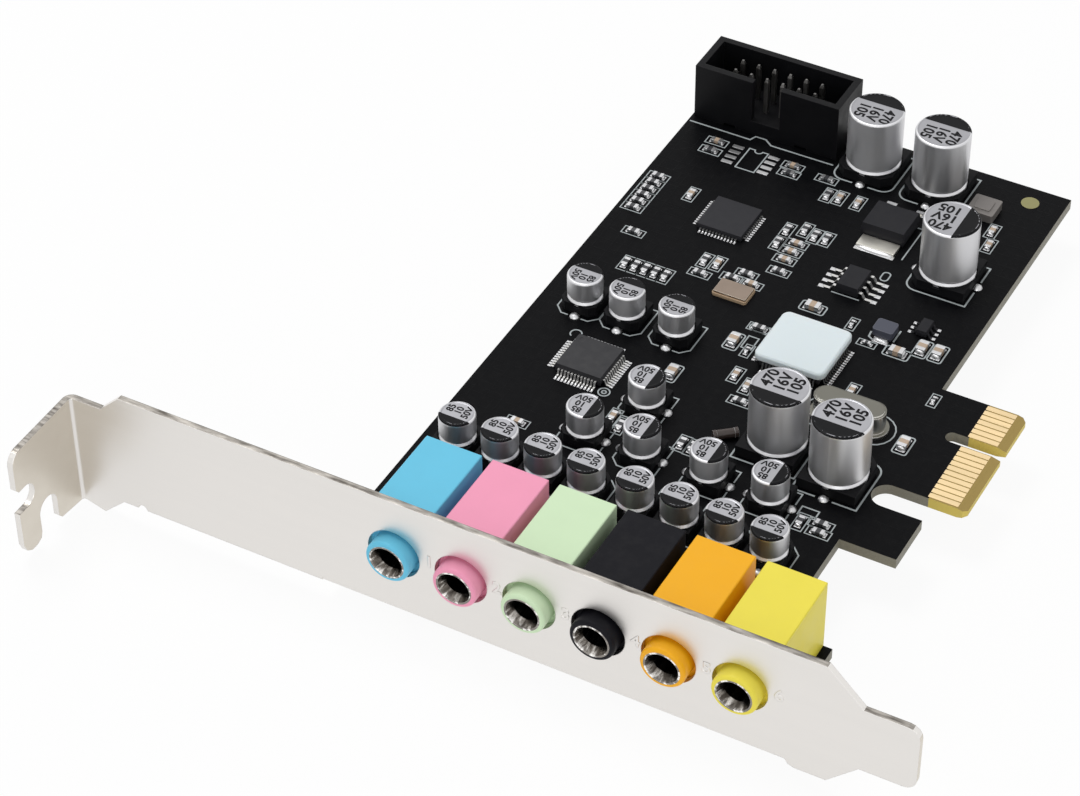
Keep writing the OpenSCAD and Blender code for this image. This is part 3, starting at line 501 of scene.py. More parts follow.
on_tongue = math_node(
    tree, "MULTIPLY", math_node(tree, "GREATER_THAN", where.outputs["X"], BOARD_LOW.x + TONGUE_START * MM),
    math_node(tree, "GREATER_THAN", where.outputs["Y"], BOARD_LOW.y + TONGUE_FRONT * MM))
skin = mix_colours(tree, on_tongue, lacquered, shade(LAMINATE, 1.0))
bevelled = math_node(tree, "MULTIPLY", on_tongue, sideways)
edge_colour = mix_colours(tree, bevelled, edge_colour, BEVEL_YELLOW)
tree.links.new(mix_colours(tree, sideways, skin, edge_colour), shader.inputs["Base Color"])
tracks = place_group(tree, TRACKS, Pitch=0.0023)
relief = tree.nodes.new("ShaderNodeBump")
relief.inputs["Distance"].default_value = TRACK_RELIEF * MM
tree.links.new(tracks["Height"], relief.inputs["Height"])
tree.links.new(shader.inputs["Normal"].links[0].from_socket, relief.inputs["Normal"])
tree.links.new(relief.outputs[0], shader.inputs["Normal"])
dress(lacquer, "board")

# %% [markdown]
# ## Metals
# The bracket is nickel plated sheet, rolled along its length: a satin metal with very faint lines. The cans
# of the capacitors are drawn from thin aluminium, so their lines run upwards. Gold contacts are smooth and
# show only fine rubbing marks across. All of them are fully metallic, so their colour comes from what they
# reflect and from the colour written here. The short leads under the chips and the header's pins lie in
# shade, so their metal is painted darker, a painted shade.

# %% Finishes of the metals
nickel = finish("nickel plated sheet", (0.80, 0.775, 0.745), 0.36, 1.0, grain=1400, relief=0.0012, tone=0.035,
                stretch=(0.12, 6, 6), edge=0.18, edge_colour=(0.86, 0.84, 0.81), edge_highlight_contrast=5.0, dust=0.01)
zinc = finish("zinc plated screw", (0.72, 0.72, 0.70), 0.30, 1.0, grain=5000, relief=0.002, tone=0.08)
gold = finish("gold plating", (0.80, 0.62, 0.36), 0.40, 1.0, grain=9000, relief=0.001, tone=0.10,
              stretch=(0.1, 1, 1), edge=0.03, edge_colour=(0.9, 0.75, 0.5))
mark_gold = finish("dull gilding", (0.27, 0.255, 0.125), 0.50, 1.0, grain=6000, relief=0.001, tone=0.12,
                   edge=0.03, edge_colour=(0.5, 0.44, 0.25))
# Painted shade: the header's pins get a dark metal colour.
pin_metal = finish("plated pins in painted shade", (0.16, 0.155, 0.15), 0.45, 1.0, grain=9000, relief=0.001, tone=0.10,
                   edge=0.05, edge_colour=(0.3, 0.3, 0.3))
aluminium = finish("drawn aluminium", (0.70, 0.70, 0.715), 0.46, 1.0, grain=9000, relief=0.0004, tone=0.04,
                   stretch=(1, 1, 0.05), edge=0.06, edge_colour=(0.86, 0.86, 0.88), edge_highlight_contrast=3.0)
tin = finish("bright solder", (0.62, 0.62, 0.63), 0.38, 1.0, grain=2500, relief=0.001, tone=0.04, edge=0.05)
lead_metal = finish("tin plated leads", (0.62, 0.615, 0.60), 0.40, 1.0, grain=5000, relief=0.0008, tone=0.06,
                    edge=0.03)
# Painted shade: the leads under two chips get a dark metal colour.
shaded_leads = finish("leads in painted shade", (0.14, 0.14, 0.14), 0.45, 1.0, grain=5000, relief=0.0008, tone=0.06,
                    edge=0.03)
spring_metal = finish("plated contact strip", (0.74, 0.66, 0.46), 0.30, 1.0, grain=6000, relief=0.002)
can_metal = finish("drawn nickel can", (0.66, 0.64, 0.60), 0.30, 1.0, grain=4000, relief=0.002, tone=0.06,
                   edge=0.25, edge_colour=(0.85, 0.84, 0.80), edge_highlight_contrast=4.0)
lid_metal = finish("bronze lid", (0.27, 0.215, 0.175), 0.45, 1.0, grain=7000, relief=0.001, tone=0.08,
                   edge=0.08, edge_colour=(0.85, 0.78, 0.66), edge_highlight_contrast=5.0)
tab_metal = finish("cream coloured tab", (0.70, 0.68, 0.62), 0.42, 1.0, grain=3000, relief=0.0005, tone=0.03,
                   edge=0.08)
print("metals ready")

# %% [markdown]
# ## Cut edges and flat tops
# Sheet is sheared, not milled, and on the bracket its cut edge faces upwards. The edge gets patches of dark
# and light, a painted reflection with painted highlights where the thin edge mirrors dark and bright parts
# of the room. The inner side of the flange gets a colour a little darker and warmer than the face, a
# painted shade. The flat top of a can gets a darker colour than its round wall, a painted reflection,
# because it mirrors only one part of the room. All of these are tints by direction.

# %% Tint the metals
PAINTED_EDGE_DARK_REFLECTION = (0.09, 0.08, 0.07)
PAINTED_EDGE_HIGHLIGHT = (0.50, 0.47, 0.43)
NEARLY_SQUARE = 0.97
MOSTLY_UP = 0.9
# Painted shade: the flange side that faces along X gets a darker, warmer colour.
tint_facing(nickel, "X", NEARLY_SQUARE, (0.70, 0.65, 0.57))
# Painted reflection and highlights: the upward cut edge gets patches of dark and light.
tint_facing(nickel, "Z", NEARLY_SQUARE, PAINTED_EDGE_DARK_REFLECTION, PAINTED_EDGE_HIGHLIGHT)
# Painted reflection: the flat tops of the capacitor cans and of the crystal can get a darker colour.
tint_facing(aluminium, "Z", MOSTLY_UP, (0.36, 0.36, 0.38))
tint_facing(can_metal, "Z", MOSTLY_UP, (0.19, 0.185, 0.16))
print("tinted:", nickel.name, "/", aluminium.name, "/", can_metal.name)

# %% [markdown]
# ## The metal sleeves
# A turned sleeve lines each jack. Its bore mirrors the room in long streaks and goes dark towards its
# depth, where no light comes. Real mirroring would need a studio with many lamps and dark cards, so the
# streaks are a painted reflection drawn from stretched grain, and a fade along the bore is painted shade
# that makes the depth.

# %% Finish of the sleeves
PAINTED_STREAK_REFLECTION = (0.95, 0.93, 0.90, 1)
PAINTED_DEPTH_SHADE = (0.02, 0.018, 0.016)
STREAK_GRAIN = 26000
STREAK_STRETCH = (1, 0.02, 1)
STREAK_LEVEL = 0.5
STREAK_CONTRAST = 9.0
BRIGHT_RING = 0.6
FADE_REACH = 4.5
NOSE_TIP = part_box("blue_jack_sleeve")[0].y
# Painted reflection: the strong tone and the bright streaks stand for what the bore mirrors.
sleeve_metal = finish("turned sleeve", (0.24, 0.22, 0.20), 0.20, 1.0, grain=14000, relief=0.001, tone=0.5,
                      stretch=(1, 0.03, 1), edge=0.05, edge_colour=(0.80, 0.79, 0.77), edge_highlight_contrast=2.0)
tree = sleeve_metal.node_tree
base = tree.nodes["Principled BSDF"].inputs["Base Color"]
streaks = place_group(tree, GRAIN, Scale=STREAK_GRAIN, Stretch=STREAK_STRETCH)["Patches"]
streaks = math_node(tree, "SUBTRACT", streaks, STREAK_LEVEL, clamp=True)
streaks = math_node(tree, "MULTIPLY", streaks, STREAK_CONTRAST, clamp=True)
tree.links.new(mix_colours(tree, streaks, base.links[0].from_socket, PAINTED_STREAK_REFLECTION), base)
# Painted shade: the bore darkens towards its depth.
tint_beyond(sleeve_metal, "Y", NOSE_TIP + BRIGHT_RING * MM, FADE_REACH * MM, PAINTED_DEPTH_SHADE)
print("the bore fades to dark over", FADE_REACH, "mm")

# %% [markdown]
# ## Metals on the solids
# Each metal goes on its solids. One solid carries two metals: the tinned pads and the round gilded mark
# near the board's back edge. They could be parted, but a second material on the faces near the mark's
# middle does the same and leaves the solid whole.

# %% Dress the metal solids
dress(nickel, "bracket")
dress(zinc, "bracket_screw")
dress(gold, "edge_contacts_top", "edge_contacts_bottom")
dress(pin_metal, "header_pins")
MARK_RADIUS = 1.35
MARK_SPOT = Vector((BOARD_LOW.x + 51.8 * MM, BOARD_LOW.y + 107.3 * MM))
CAP_GROUPS = ("large", "front", "middle", "rear")
dress(aluminium, *[f"{group}_cap_cans" for group in CAP_GROUPS])
dress(tin, "bare_pads", "solder_joints", "chip_end_caps", *[f"{group}_cap_terminals" for group in CAP_GROUPS])
dress(lead_metal, "codec_leads", "amplifier_leads")
dress(shaded_leads, "converter_leads", "controller_leads")
dress(tab_metal, "regulator_tab")
pads = NODES["bare_pads"].data
pads.materials.append(mark_gold)
for polygon in pads.polygons:
    polygon.material_index = int((polygon.center.to_2d() - MARK_SPOT).length < MARK_RADIUS * MM)
dress(can_metal, "crystal_can")
dress(lid_metal, "oscillator_lid")

# %% [markdown]
# ## The jacks
# The jack housings are coloured plastic with a satin skin: a mild shine and soft edges painted a little
# lighter, as a painted highlight. They differ in little but colour, so one loop makes all six and dresses
# each jack with its sleeve and its contacts.

# %% Finish of the jacks
JACK_COLOURS = {
    "blue": (0.150, 0.60, 0.84), "pink": (0.97, 0.37, 0.54), "green": (0.69, 0.88, 0.59),
    "black": (0.010, 0.010, 0.013), "orange": (1.0, 0.47, 0.006), "yellow": (0.93, 0.80, 0.085)}
for label, colour in JACK_COLOURS.items():
    dark = label == "black"
    # Painted highlight: the edges of each housing are a little lighter than its colour.
    plastic = finish(f"{label} plastic", colour, 0.42, grain=5200, relief=0.002, tone=0.025, edge=0.10,
                     edge_colour=(0.045, 0.045, 0.05) if dark else shade(colour, 1.12)[:3], edge_highlight_contrast=1.6,
                     dust=0.01, fixed={"Specular IOR Level": 0.07 if dark else 0.3})
    dress(plastic, f"{label}_jack_housing")
    dress(sleeve_metal, f"{label}_jack_sleeve")
    dress(spring_metal, f"{label}_jack_contacts")

# %% [markdown]
# ## Chips, pads and ceramics
# Chips are dark resin with a very fine, dull grain. The header is black plastic, rougher than the jacks.
# The soft pad on the largest chip is silicone, without any shine to speak of. Small capacitors are brown
# ceramic, resistors are black glaze, coils are pressed ferrite or metal powder, and the diode is glass. The
# differences are small, and they are what keeps a board full of dark boxes from looking like one moulding.

# %% Finishes of the chips
header_black = finish("black header plastic", (0.0055, 0.0055, 0.0065), 0.45, grain=7000, relief=0.003,
                      tone=0.10, edge=0.12, edge_colour=(0.035, 0.035, 0.038), edge_highlight_contrast=2.0, dust=0.006,
                      fixed={"Specular IOR Level": 0.10})
base_black = finish("black base plastic", (0.006, 0.006, 0.007), 0.50, grain=7000, relief=0.003, tone=0.08,
                    edge=0.08, edge_colour=(0.03, 0.03, 0.033), fixed={"Specular IOR Level": 0.10})
resin = finish("chip resin", (0.028, 0.028, 0.031), 0.58, grain=11000, relief=0.006, tone=0.10, edge=0.10,
               edge_colour=(0.075, 0.075, 0.08), edge_highlight_contrast=2.5, dust=0.02, fixed={"Specular IOR Level": 0.3})
dark_resin = finish("dark chip resin", (0.017, 0.017, 0.020), 0.55, grain=11000, relief=0.004, tone=0.08,
                    edge=0.06, edge_colour=(0.04, 0.04, 0.043), fixed={"Specular IOR Level": 0.15})
light_resin = finish("lighter chip resin", (0.024, 0.024, 0.028), 0.55, grain=11000, relief=0.006, tone=0.08,
                     edge=0.06, edge_colour=(0.07, 0.07, 0.075), fixed={"Specular IOR Level": 0.2})
silicone = finish("white silicone pad", (0.86, 0.92, 0.93), 0.70, grain=2500, relief=0.010, tone=0.012,
                  edge=0.30, edge_colour=(0.85, 0.90, 0.92), edge_highlight_contrast=1.2,
                  fixed={"Specular IOR Level": 0.25, "Subsurface Weight": 0.1})
tan_ceramic = finish("tan ceramic", (0.50, 0.36, 0.23), 0.55, grain=6000, relief=0.003, tone=0.08, edge=0.04)
capacitor_ceramic = finish("brown capacitor ceramic", (0.50, 0.38, 0.28), 0.48, grain=1500, relief=0.001,
                           tone=0.35, edge=0.05, edge_colour=(0.66, 0.55, 0.44))
glaze = finish("black resistor glaze", (0.045, 0.045, 0.050), 0.32, grain=5000, relief=0.001, tone=0.10,
               edge=0.04, edge_colour=(0.14, 0.14, 0.15))
ferrite = finish("pressed ferrite", (0.055, 0.060, 0.085), 0.50, grain=9000, relief=0.006, tone=0.12,
                 edge=0.16, edge_colour=(0.20, 0.21, 0.25), edge_highlight_contrast=4.0)
powder = finish("pressed metal powder", (0.20, 0.185, 0.175), 0.55, 0.3, grain=9000, relief=0.006, tone=0.10,
                edge=0.12, edge_colour=(0.34, 0.32, 0.30))
coated_glass = finish("coated glass", (0.05, 0.035, 0.03), 0.15, grain=5000, relief=0.001, tone=0.10,
                      edge=0.05, edge_colour=(0.6, 0.6, 0.6), edge_highlight_contrast=6.0)
dress(header_black, "header_shroud")
dress(base_black, *[f"{group}_cap_bases" for group in CAP_GROUPS])
dress(resin, "codec_chip", "controller_chip")
dress(dark_resin, "amplifier_chip", "regulator_body", "switch_chip")
dress(light_resin, "converter_chip")
dress(silicone, "thermal_pad")
dress(tan_ceramic, "oscillator_base")
dress(capacitor_ceramic, "chip_capacitors")
dress(glaze, "chip_resistors")
dress(ferrite, "power_inductor")
dress(powder, "choke")
dress(coated_glass, "diode")

# %% [markdown]
# ## Where things stand on the board
# Printed lines and solder follow the parts. The small chip parts are bodies of one solid, so their places
# are read from it: bodies that share no corner are apart, and the box of each gives its place, its turn and
# its size. Only the round capacitors are listed, because a round can doesn't show which way it is turned.
# All places are millimetres from the board's left front corner.

# %% Find the places
CAP_PITCH = 6.35
FRONT_ROW, MIDDLE_ROW, REAR_ROW = 24.85, 34.15, 57.9
FRONT_CAPS = [(start + i * CAP_PITCH, FRONT_ROW, 270) for start in (5.1, 31.2) for i in range(4)]
MIDDLE_CAPS = [(x, MIDDLE_ROW, 0) for x in (19, 27.4, 37.1, 45.9)] + [(23.5, 43.1, 0)]
REAR_CAPS = [(x, REAR_ROW, 90) for x in (6.4, 12.9, 20.4)]
SMALL_CAPS = FRONT_CAPS + MIDDLE_CAPS + REAR_CAPS
LARGE_CAPS = [(42.2, 44.1, 270), (51.8, 42.4, 270), (48, 86.4, 0), (28.7, 104.3, 90), (39, 104.2, 90)]
# The length of a chip part by its width
LENGTH_OF = {0.5: 1.0, 0.8: 1.6, 1.25: 2.0}
CORNER = Vector((BOARD_LOW.x, BOARD_LOW.y, BOARD_HIGH.z))


def bodies(name):
    """The lowest and highest corner of each separate body of a solid."""
    mesh = NODES[name].data
    keys = [tuple(round(c / MM - base, 3) for c, base in zip(v.co, CORNER / MM)) for v in mesh.vertices]
    parent = {key: key for key in keys}

    def root(key):
        while parent[key] != key:
            key = parent[key]
        return key

    for polygon in mesh.polygons:
        first = root(keys[polygon.vertices[0]])
        for index in polygon.vertices[1:]:
            parent[root(keys[index])] = first
    groups = {}
    for key in parent:
        groups.setdefault(root(key), []).append(key)
    return [(Vector(map(min, zip(*group))), Vector(map(max, zip(*group)))) for group in groups.values()]


def chip_part(low, high):
    """Place, turn, length, width and height of the chip part with this body between its metal ends."""
    wide = (high - low).to_2d()
    turn = 0 if wide.x < wide.y else 90
    width = min(LENGTH_OF, key=lambda w: abs(w - max(wide)))
    return (low.x + high.x) / 2, (low.y + high.y) / 2, turn, LENGTH_OF[width], width, high.z


def extent(name):
    """The lowest and highest corner of a whole solid on the board."""
    return [(corner - CORNER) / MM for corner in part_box(name)]


def spot(name):
    low, high = extent(name)
    return ((low + high) / 2).to_2d()


CHIP_PARTS = [chip_part(*body) for name in ("chip_resistors", "chip_capacitors") for body in bodies(name)]
print(len(CHIP_PARTS), "chip parts and", len(SMALL_CAPS + LARGE_CAPS), "round capacitors")

# %% [markdown]
# ## One piece of many bodies
# A board has hundreds of printed lines and drops of solder. As objects of their own they would be slow to
# handle, so bodies are collected as rows of points and faces, and each collection becomes one piece. Points
# are given in millimetres in the frame of a part, and that frame is turned and moved to the part's place.

# %% Collect bodies
def on_board(x, y, turn=0.0):
    """The frame of a place on the board's upper face, in metres, to be multiplied with points in mm."""
    return (Matrix.Translation(CORNER + Vector((x, y, 0)) * MM) @ Matrix.Rotation(math.radians(turn), 4, "Z")
            @ Matrix.Scale(MM, 4))


class Shape:
    """Collects points and faces of many small bodies, and makes one piece of them."""

    def __init__(self):
        self.points, self.faces = [], []

    def add(self, points, faces, place=None):
        start = len(self.points)
        self.points += [tuple((place or Matrix()) @ Vector(p)) for p in points]
        self.faces += [tuple(start + i for i in f) for f in faces]

    def box(self, low, high, place):
        x0, y0, z0 = low
        x1, y1, z1 = high
        points = [(x, y, z) for z in (z0, z1) for x, y in ((x0, y0), (x1, y0), (x1, y1), (x0, y1))]
        sides = [(i, (i + 1) % 4, (i + 1) % 4 + 4, i + 4) for i in range(4)]
        self.add(points, [(3, 2, 1, 0), (4, 5, 6, 7)] + sides, place)

    def piece(self, name, material, smooth=False):
        mesh = bpy.data.meshes.new(name)
        mesh.from_pydata(self.points, [], self.faces)
        mesh.materials.append(material)
        mesh.validate()
        if smooth:
            mesh.shade_smooth()
        made = bpy.data.objects.new(name, mesh)
        scene.collection.objects.link(made)
        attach(made, "root")
        print(name, "has", len(mesh.polygons), "faces")


BOARD = on_board(0, 0)
print("the board's corner lies at", [round(c / MM, 2) for c in CORNER], "mm")

# %% [markdown]
# ## Printed lines
# White ink on the board shows where each part goes and which way round. It could be painted in the board's
# material, but a line has a real thickness and a crisp edge, and as a thin strip it keeps them from near
# by. A strip follows a row of points: at each point it is widened to both sides along the corner's
# bisector.

# %% Write the strip
FINE = 0.15
LINE = 0.20
BOLD = 0.25
INK = 0.03
ink = finish("white ink", (0.42, 0.46, 0.47), 0.6, grain=9000, relief=0.004, tone=0.12, edge=0.02)
prints = Shape()


def strip(points, place=BOARD, closed=False, width=LINE):
    """A printed line through points in mm, widened at each point along the corner's bisector."""
    count = len(points)
    flat = [Vector(p).to_2d() for p in points]
    cross, faces = [], []
    for i, p in enumerate(flat):
        before = flat[i - 1] if i or closed else None
        after = flat[(i + 1) % count] if i < count - 1 or closed else None
        arms = [(p - before).normalized() if before is not None else None,
                (after - p).normalized() if after is not None else None]
        arms = [a for a in arms if a is not None]
        way = sum(arms, Vector((0, 0))).normalized()
        side = Vector((-way.y, way.x)) * (width / 2 / max(0.4, way.dot(arms[0])))
        cross += [(*(p + side), 0), (*(p + side), INK), (*(p - side), INK), (*(p - side), 0)]
    for i in range(count if closed else count - 1):
        a, b = 4 * i, 4 * ((i + 1) % count)
        faces += [(a + k, b + k, b + (k + 1) % 4, a + (k + 1) % 4) for k in range(4)]
    if not closed:
        faces += [(0, 1, 2, 3), (4 * count - 1, 4 * count - 2, 4 * count - 3, 4 * count - 4)]
    prints.add(cross, faces, place)


def arc(x, y, radius, start, end, steps=16):
    angles = [math.radians(start + (end - start) * i / steps) for i in range(steps + 1)]
    return [(x + radius * math.cos(a), y + radius * math.sin(a)) for a in angles]


QUARTERS = ((1, 1), (-1, 1), (-1, -1), (1, -1))


def frame_line(x, y, turn, half_x, half_y, corner=0.0, width=LINE):
    """A closed outline round a part, with plain or rounded corners."""
    if corner:
        points = []
        for quarter, (side_x, side_y) in enumerate(QUARTERS):
            middle = side_x * (half_x - corner), side_y * (half_y - corner)
            points += arc(*middle, corner, 90 * quarter, 90 * quarter + 90, 5)
    else:
        points = [(-half_x, -half_y), (half_x, -half_y), (half_x, half_y), (-half_x, half_y)]
    strip(points, on_board(x, y, turn), closed=True, width=width)


print("line widths:", FINE, LINE, BOLD, "mm")

# %% [markdown]
# ## Outlines of the parts
# Each chip part gets a closed outline that clears its pads, and each round capacitor two brackets that
# leave its terminals free, with cut or rounded corners on the side of one pole. They are drawn in the frame
# of their part, so one rule serves every turn.

# %% Print the outlines
PAD_CLEAR = 0.82
SIDE_CLEAR = 0.38
WIDE_PART = 1.0
for x, y, turn, length, width, _ in CHIP_PARTS:
    corner = 0.35 if width > WIDE_PART else 0
    frame_line(x, y, turn, length / 2 + PAD_CLEAR, width / 2 + SIDE_CLEAR, corner, LINE if corner else FINE)
for caps, half, gap, width in ((LARGE_CAPS, 4.6, 1.2, BOLD), (SMALL_CAPS, 3.2, 1.0, LINE)):
    corner = half * 0.36
    for x, y, turn in caps:
        for s in (1, -1):
            if caps is LARGE_CAPS:
                bend = arc(corner - half, s * (half - corner), corner, s * 90, s * 180, 6)
            else:
                bend = [(corner - half, s * half), (-half, s * (half - corner))]
            strip([(half, s * gap), (half, s * half)] + bend + [(-half, s * gap)], on_board(x, y, turn),
                  width=width)
print(len(prints.faces), "faces of print so far")

# %% [markdown]
# ## Single outlines
# The crystal, an empty chip place and a few places without a solid of their own have an outline too, and
# some chips have a mark at their first corner or a line along one side. These follow no pattern on the real
# board, so their points are listed one by one.

# %% Print the single outlines
EMPTY_X = (11.05, 14.03)
EMPTY_Y = (95.16, 100.06)
CODEC_MARK = (17.23, 42.88)
CODEC_CORNER = (8.3, 51.7)
frame_line(*spot("crystal_can"), turn=0, half_x=6.5, half_y=3.1, corner=3.05)
frame_line(40.4, 82.6, turn=90, half_x=0.95, half_y=0.55, corner=0.5)
frame_line(29.9, 64.4, turn=0, half_x=1.45, half_y=0.75, corner=0.7)
frame_line(30, 61.1, turn=90, half_x=1.3, half_y=0.75)
frame_line(20.6, 28.9, turn=0, half_x=1.3, half_y=0.7)
frame_line(51.2, 34.6, turn=0, half_x=1.2, half_y=0.8)
for radius in (0.8, 0.3):
    strip(arc(*CODEC_MARK, radius, 0, 360, 20)[:-1], closed=True)
strip(arc(*CODEC_CORNER, 0.8, 20, 240))
low_corners = [(x, EMPTY_Y[0]) for x in EMPTY_X]
notch = arc(sum(EMPTY_X) / 2, EMPTY_Y[1], 0.6, 0, -180, 8)
strip([(EMPTY_X[0], EMPTY_Y[1]), *low_corners, (EMPTY_X[1], EMPTY_Y[1]), *notch], closed=True)
strip([(40.9, 87), (40.9, 94.6), (40, 94.6)])
strip([(35.1, 76.2), (39.3, 76.2)])
strip([(43.5, 71.1), (43.6, 70), (44.3, 69.6)], width=BOLD)
strip([(47.05, 70.4), (47.05, 73)], width=BOLD)
strip([(0.34, 102), (10.16, 101.95), (10.6, 103), (12.2, 103), (13.5, 102.05), (23.4, 102.1)], width=BOLD)
prints.piece("board_print", ink)

# %% [markdown]
# ## Solder
# Solder climbs the metal ends of each part and leaves a small shiny slope on a flat pad. One slope is a
# quarter of a squashed ball. A ball cut in a modelling tool would do too, but written as rows of points it
# stays light, and there are a few hundred of them.

# %% Write the slope and the pad
PAD_HEIGHT = 0.035
JOINT_GAP = 0.005
SLOPE_ROWS, SLOPE_COLUMNS = 4, 6
solder = Shape()


def slope(place, x, half_width, reach, height, rows=SLOPE_ROWS, columns=SLOPE_COLUMNS):
    """A quarter of a ball behind the plane at x, flat on the board and flat against the part."""
    points, faces = [], []
    for i in range(rows + 1):
        lift = math.pi / 2 * i / rows
        for j in range(columns + 1):
            turn = math.pi * j / columns
            points.append((x + reach * math.cos(lift) * math.sin(turn),
                           half_width * math.cos(lift * 0.75) * math.cos(turn), height * math.sin(lift)))
    width = columns + 1
    for i in range(rows):
        for j in range(columns):
            a = i * width + j
            faces.append((a, a + width, a + width + 1, a + 1))
    faces.append(tuple(range(width)))
    wall = [i * width for i in range(rows + 1)] + [i * width + columns for i in range(rows, -1, -1)]
    faces.append(tuple(wall))
    solder.add(points, faces, place)


def pad(place, x0, x1, half_width):
    """A thin tinned pad from x0 to x1 in the frame of its place."""
    solder.box((x0, -half_width, 0.0), (x1, half_width, PAD_HEIGHT), place)


print("a slope has", SLOPE_ROWS * SLOPE_COLUMNS + 2, "faces")

# %% [markdown]
# ## Solder on the chip parts
# A chip part stands on two pads that reach a little out from under it, and its solder climbs most of its
# height. Both ends are alike, so each is drawn once and turned by half a turn.

# %% Solder the chip parts
PAD_REACH = 0.34
CLIMB = 0.8
for x, y, turn, length, width, height in CHIP_PARTS:
    for half_turn in (0, 180):
        place = on_board(x, y, turn + half_turn)
        pad(place, length / 2, length / 2 + PAD_REACH, width / 2 + 0.04)
        slope(place, length / 2 + JOINT_GAP, width / 2, reach=0.28, height=height * CLIMB)
print(len(solder.faces), "faces of solder so far")

# %% [markdown]
# ## Solder on the leads
# The leads of a chip stand in rows at one pitch. Each foot gets a pad that reaches past it and a low slope
# against its end. The reach of a row is read from the leads themselves, so the rows follow the solids.

# %% Solder the leads
def leads_on(name, count, pitch, half_width, turns, apron=0.45):
    """Pads and solder at the feet of a chip's leads; the reach is read from the leads themselves."""
    low, high = extent(name)
    half = (high.x - low.x) / 2
    for turn in turns:
        for i in range(count):
            shift = (i - (count - 1) / 2) * pitch
            place = on_board(*spot(name), turn) @ Matrix.Translation((0, shift, 0))
            pad(place, half - 0.1, half + apron, half_width)
            slope(place, half + JOINT_GAP, half_width, reach=0.2, height=0.13, rows=2, columns=4)


ALL_ROUND = (0, 90, 180, 270)
BOTH_SIDES = (0, 180)
leads_on("codec_leads", count=12, pitch=0.5, half_width=0.16, turns=ALL_ROUND)
leads_on("controller_leads", count=16, pitch=0.5, half_width=0.16, turns=ALL_ROUND)
leads_on("converter_leads", count=12, pitch=0.5, half_width=0.14, turns=ALL_ROUND)
leads_on("amplifier_leads", count=4, pitch=1.33, half_width=0.32, turns=BOTH_SIDES, apron=0.77)
leads_on("switch_chip", count=3, pitch=1.0, half_width=0.24, turns=BOTH_SIDES)
print(len(solder.faces), "faces of solder so far")

# %% [markdown]
# ## Solder on the regulator and the coil
# The regulator stands on its wide metal tab and on two legs. The coil has a metal end on each side that the
# solid doesn't carry, so a small block stands for it before the solder runs against it.

# %% Solder the regulator and the coil
LEG_SHIFT = 2.28
END_IN, END_OUT, END_HALF, END_HEIGHT = 1.26, 1.55, 0.95, 0.45
tab_low, tab_high = extent("regulator_tab")
regulator = spot("regulator_tab")
for shift in (-LEG_SHIFT, LEG_SHIFT):
    place = on_board(regulator.x, 0, 90) @ Matrix.Translation((0, shift, 0))
    pad(place, tab_high.y - 0.4, tab_high.y + 0.9, half_width=0.75)
    slope(place, tab_high.y, half_width=0.5, reach=0.5, height=0.25)
place = on_board(regulator.x, 0, 270)
pad(place, -tab_low.y - 0.1, 0.6 - tab_low.y, half_width=3.0)
slope(place, 0.01 - tab_low.y, half_width=2.8, reach=0.5, height=0.42, columns=12)
for turn in (90, 270):
    place = on_board(*spot("power_inductor"), turn)
    solder.box((END_IN, -END_HALF, 0.0), (END_OUT, END_HALF, END_HEIGHT), place)
    pad(place, 1.2, 2.0, half_width=1.1)
    slope(place, END_OUT, END_HALF, reach=0.35, height=0.35)
solder.piece("surface_solder", tin)

# %% [markdown]
# ## Marks on the round capacitors
# A black half moon on top of each can shows which side is the negative one, and figures give its value. The
# half moon follows the can's top and runs over its rounded rim, so it is built as rows of points that take
# their height from the can's own profile.

# %% Write the half moon
mark_ink = finish("black mark ink", (0.004, 0.004, 0.005), 0.45, grain=8000, relief=0.001, tone=0.10,
                  edge=0.01, edge_colour=(0.01, 0.01, 0.012), fixed={"Specular IOR Level": 0.12})
marks = Shape()
LIP = 0.35
DISH_STEP = 0.15
DISH_DEPTH = 0.06
MARK_LIFT = 0.012
MARK_INSET = 0.02


def can_top(radius, height, r):
    """Height of the can's upper face at a distance r from its axis."""
    if r > radius - LIP:
        return height - LIP + math.sqrt(max(0.0, LIP ** 2 - (r - radius + LIP) ** 2))
    if r > radius - LIP - DISH_STEP:
        return height - DISH_DEPTH * (radius - LIP - r) / DISH_STEP
    return height - DISH_DEPTH


def half_moon(place, radius, height, chord, rows=10, columns=28):
    """The part of the can's top beyond the chord, as a thin black skin."""
    points, faces = [], []
    outer = radius - MARK_INSET
    for i in range(rows + 1):
        x = outer - (outer - chord) * (1 - i / rows) ** 2
        x = min(x, outer * 0.9995)
        reach = math.sqrt(outer ** 2 - x ** 2)
        for j in range(columns + 1):
            y = reach * math.sin(math.pi / 2 * (2 * j / columns - 1))
            points.append((x, y, can_top(radius, height, math.hypot(x, y)) + MARK_LIFT))
    width = columns + 1
    for i in range(rows):
        for j in range(columns):
            a = i * width + j
            faces.append((a, a + width, a + width + 1, a + 1))
    marks.add(points, faces, place)


print("half moons are lifted by", MARK_LIFT, "mm")

# %% [markdown]
# ## Figures
# Figures are text, turned into thin raised shapes. A picture of text would be blurred from near by, while a
# text object stays sharp, and once it is a mesh it can join the other figures of its kind in one piece.

# %% Write the figures
figures = []


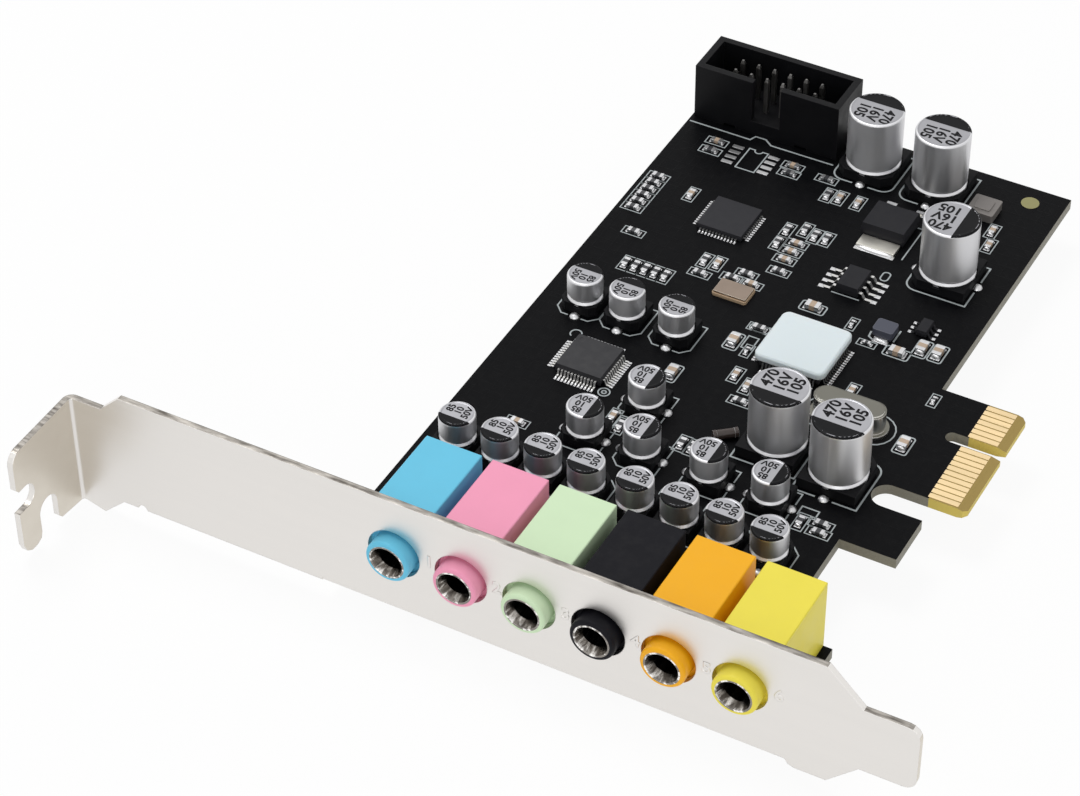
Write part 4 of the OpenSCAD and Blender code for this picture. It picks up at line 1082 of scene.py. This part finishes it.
def figure(text, place, size, x, y, turn, name, material, slot, depth=0.012, weight=0.0):
    """A short number as a thin raised shape, its middle at x, y of that place."""
    curve = bpy.data.curves.new(name, "FONT")
    curve.body = text
    curve.size = size
    curve.align_x = "CENTER"
    curve.align_y = "CENTER"
    curve.extrude = depth
    curve.offset = size * weight
    curve.resolution_u = 3
    holder = bpy.data.objects.new(name, curve)
    scene.collection.objects.link(holder)
    bpy.context.view_layer.update()
    mesh = bpy.data.meshes.new_from_object(holder.evaluated_get(bpy.context.evaluated_depsgraph_get()))
    bpy.data.objects.remove(holder)
    local = Matrix.Translation((x, y, 0)) @ Matrix.Rotation(math.radians(turn), 4, "Z")
    figures.append((place @ local, mesh, material, slot))


def gather_figures(name):
    """Joins the figures made so far into one piece."""
    shape = Shape()
    for place, mesh, material, slot in figures:
        shape.add([v.co for v in mesh.vertices], [tuple(p.vertices) for p in mesh.polygons], place)
    figures.clear()
    shape.piece(name, material)


print("figures ready")

# %% [markdown]
# ## Half moon and value on every can
# The half moon takes one side of the top and three short lines of figures the other. All of it is given in
# shares of the can's radius, so that large and small cans are marked by one rule.

# %% Mark the capacitors
LARGE_RADIUS, LARGE_HEIGHT = 4.0, 10.5
SMALL_RADIUS, SMALL_HEIGHT = 2.5, 5.4
CHORD = 0.34
LINE_SHIFTS = (-0.48, 0, 0.48)
for group, radius, height, lines in ((LARGE_CAPS, LARGE_RADIUS, LARGE_HEIGHT, ("470", "16V", "105")),
                                     (SMALL_CAPS, SMALL_RADIUS, SMALL_HEIGHT, ("85", "10", "50V"))):
    for x, y, turn in group:
        place = on_board(x, y, turn)
        half_moon(place, radius, height, radius * CHORD)
        face = place @ Matrix.Translation((0, 0, height - DISH_DEPTH))
        for line, shift in zip(lines, LINE_SHIFTS):
            figure(line, face, radius * 0.56, -radius * 0.26, radius * shift, 180, "value", mark_ink,
                   "can_aluminium", weight=0.03)
marks.piece("cap_half_moons", mark_ink, smooth=True)
gather_figures("cap_figures")

# %% [markdown]
# ## Stamped figures on the bracket
# Beside each jack the bracket carries a small stamped sign, barely lighter than the metal round it. Plain
# numbers from one to six stand for them here. They stand proud by a few hundredths of a millimetre, which
# is enough to catch the light.

# %% Stamp the bracket
SIGN_DEPTH = 0.035
SIGN_SIZE = 2.6
SIGN_PLACE = Vector((5.1, 0, 0.9))
BOARD_SETBACK = 1.3
FACE_Y = BOARD_LOW.y - BOARD_SETBACK * MM
for number, label in enumerate(JACK_COLOURS, 1):
    low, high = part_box(f"{label}_jack_sleeve")
    middle = Vector(((low.x + high.x) / 2, FACE_Y, (low.z + high.z) / 2))
    face = (Matrix.Translation(middle + SIGN_PLACE * MM) @ Matrix.Rotation(math.pi / 2, 4, "X")
            @ Matrix.Scale(MM, 4))
    figure(str(number), face, SIGN_SIZE, 0, 0, 0, "sign", nickel, "nickel_sheet", SIGN_DEPTH, weight=0.03)
gather_figures("bracket_figures")

# %% [markdown]
# ## Finish

# %% Finish
print("lesson finished")
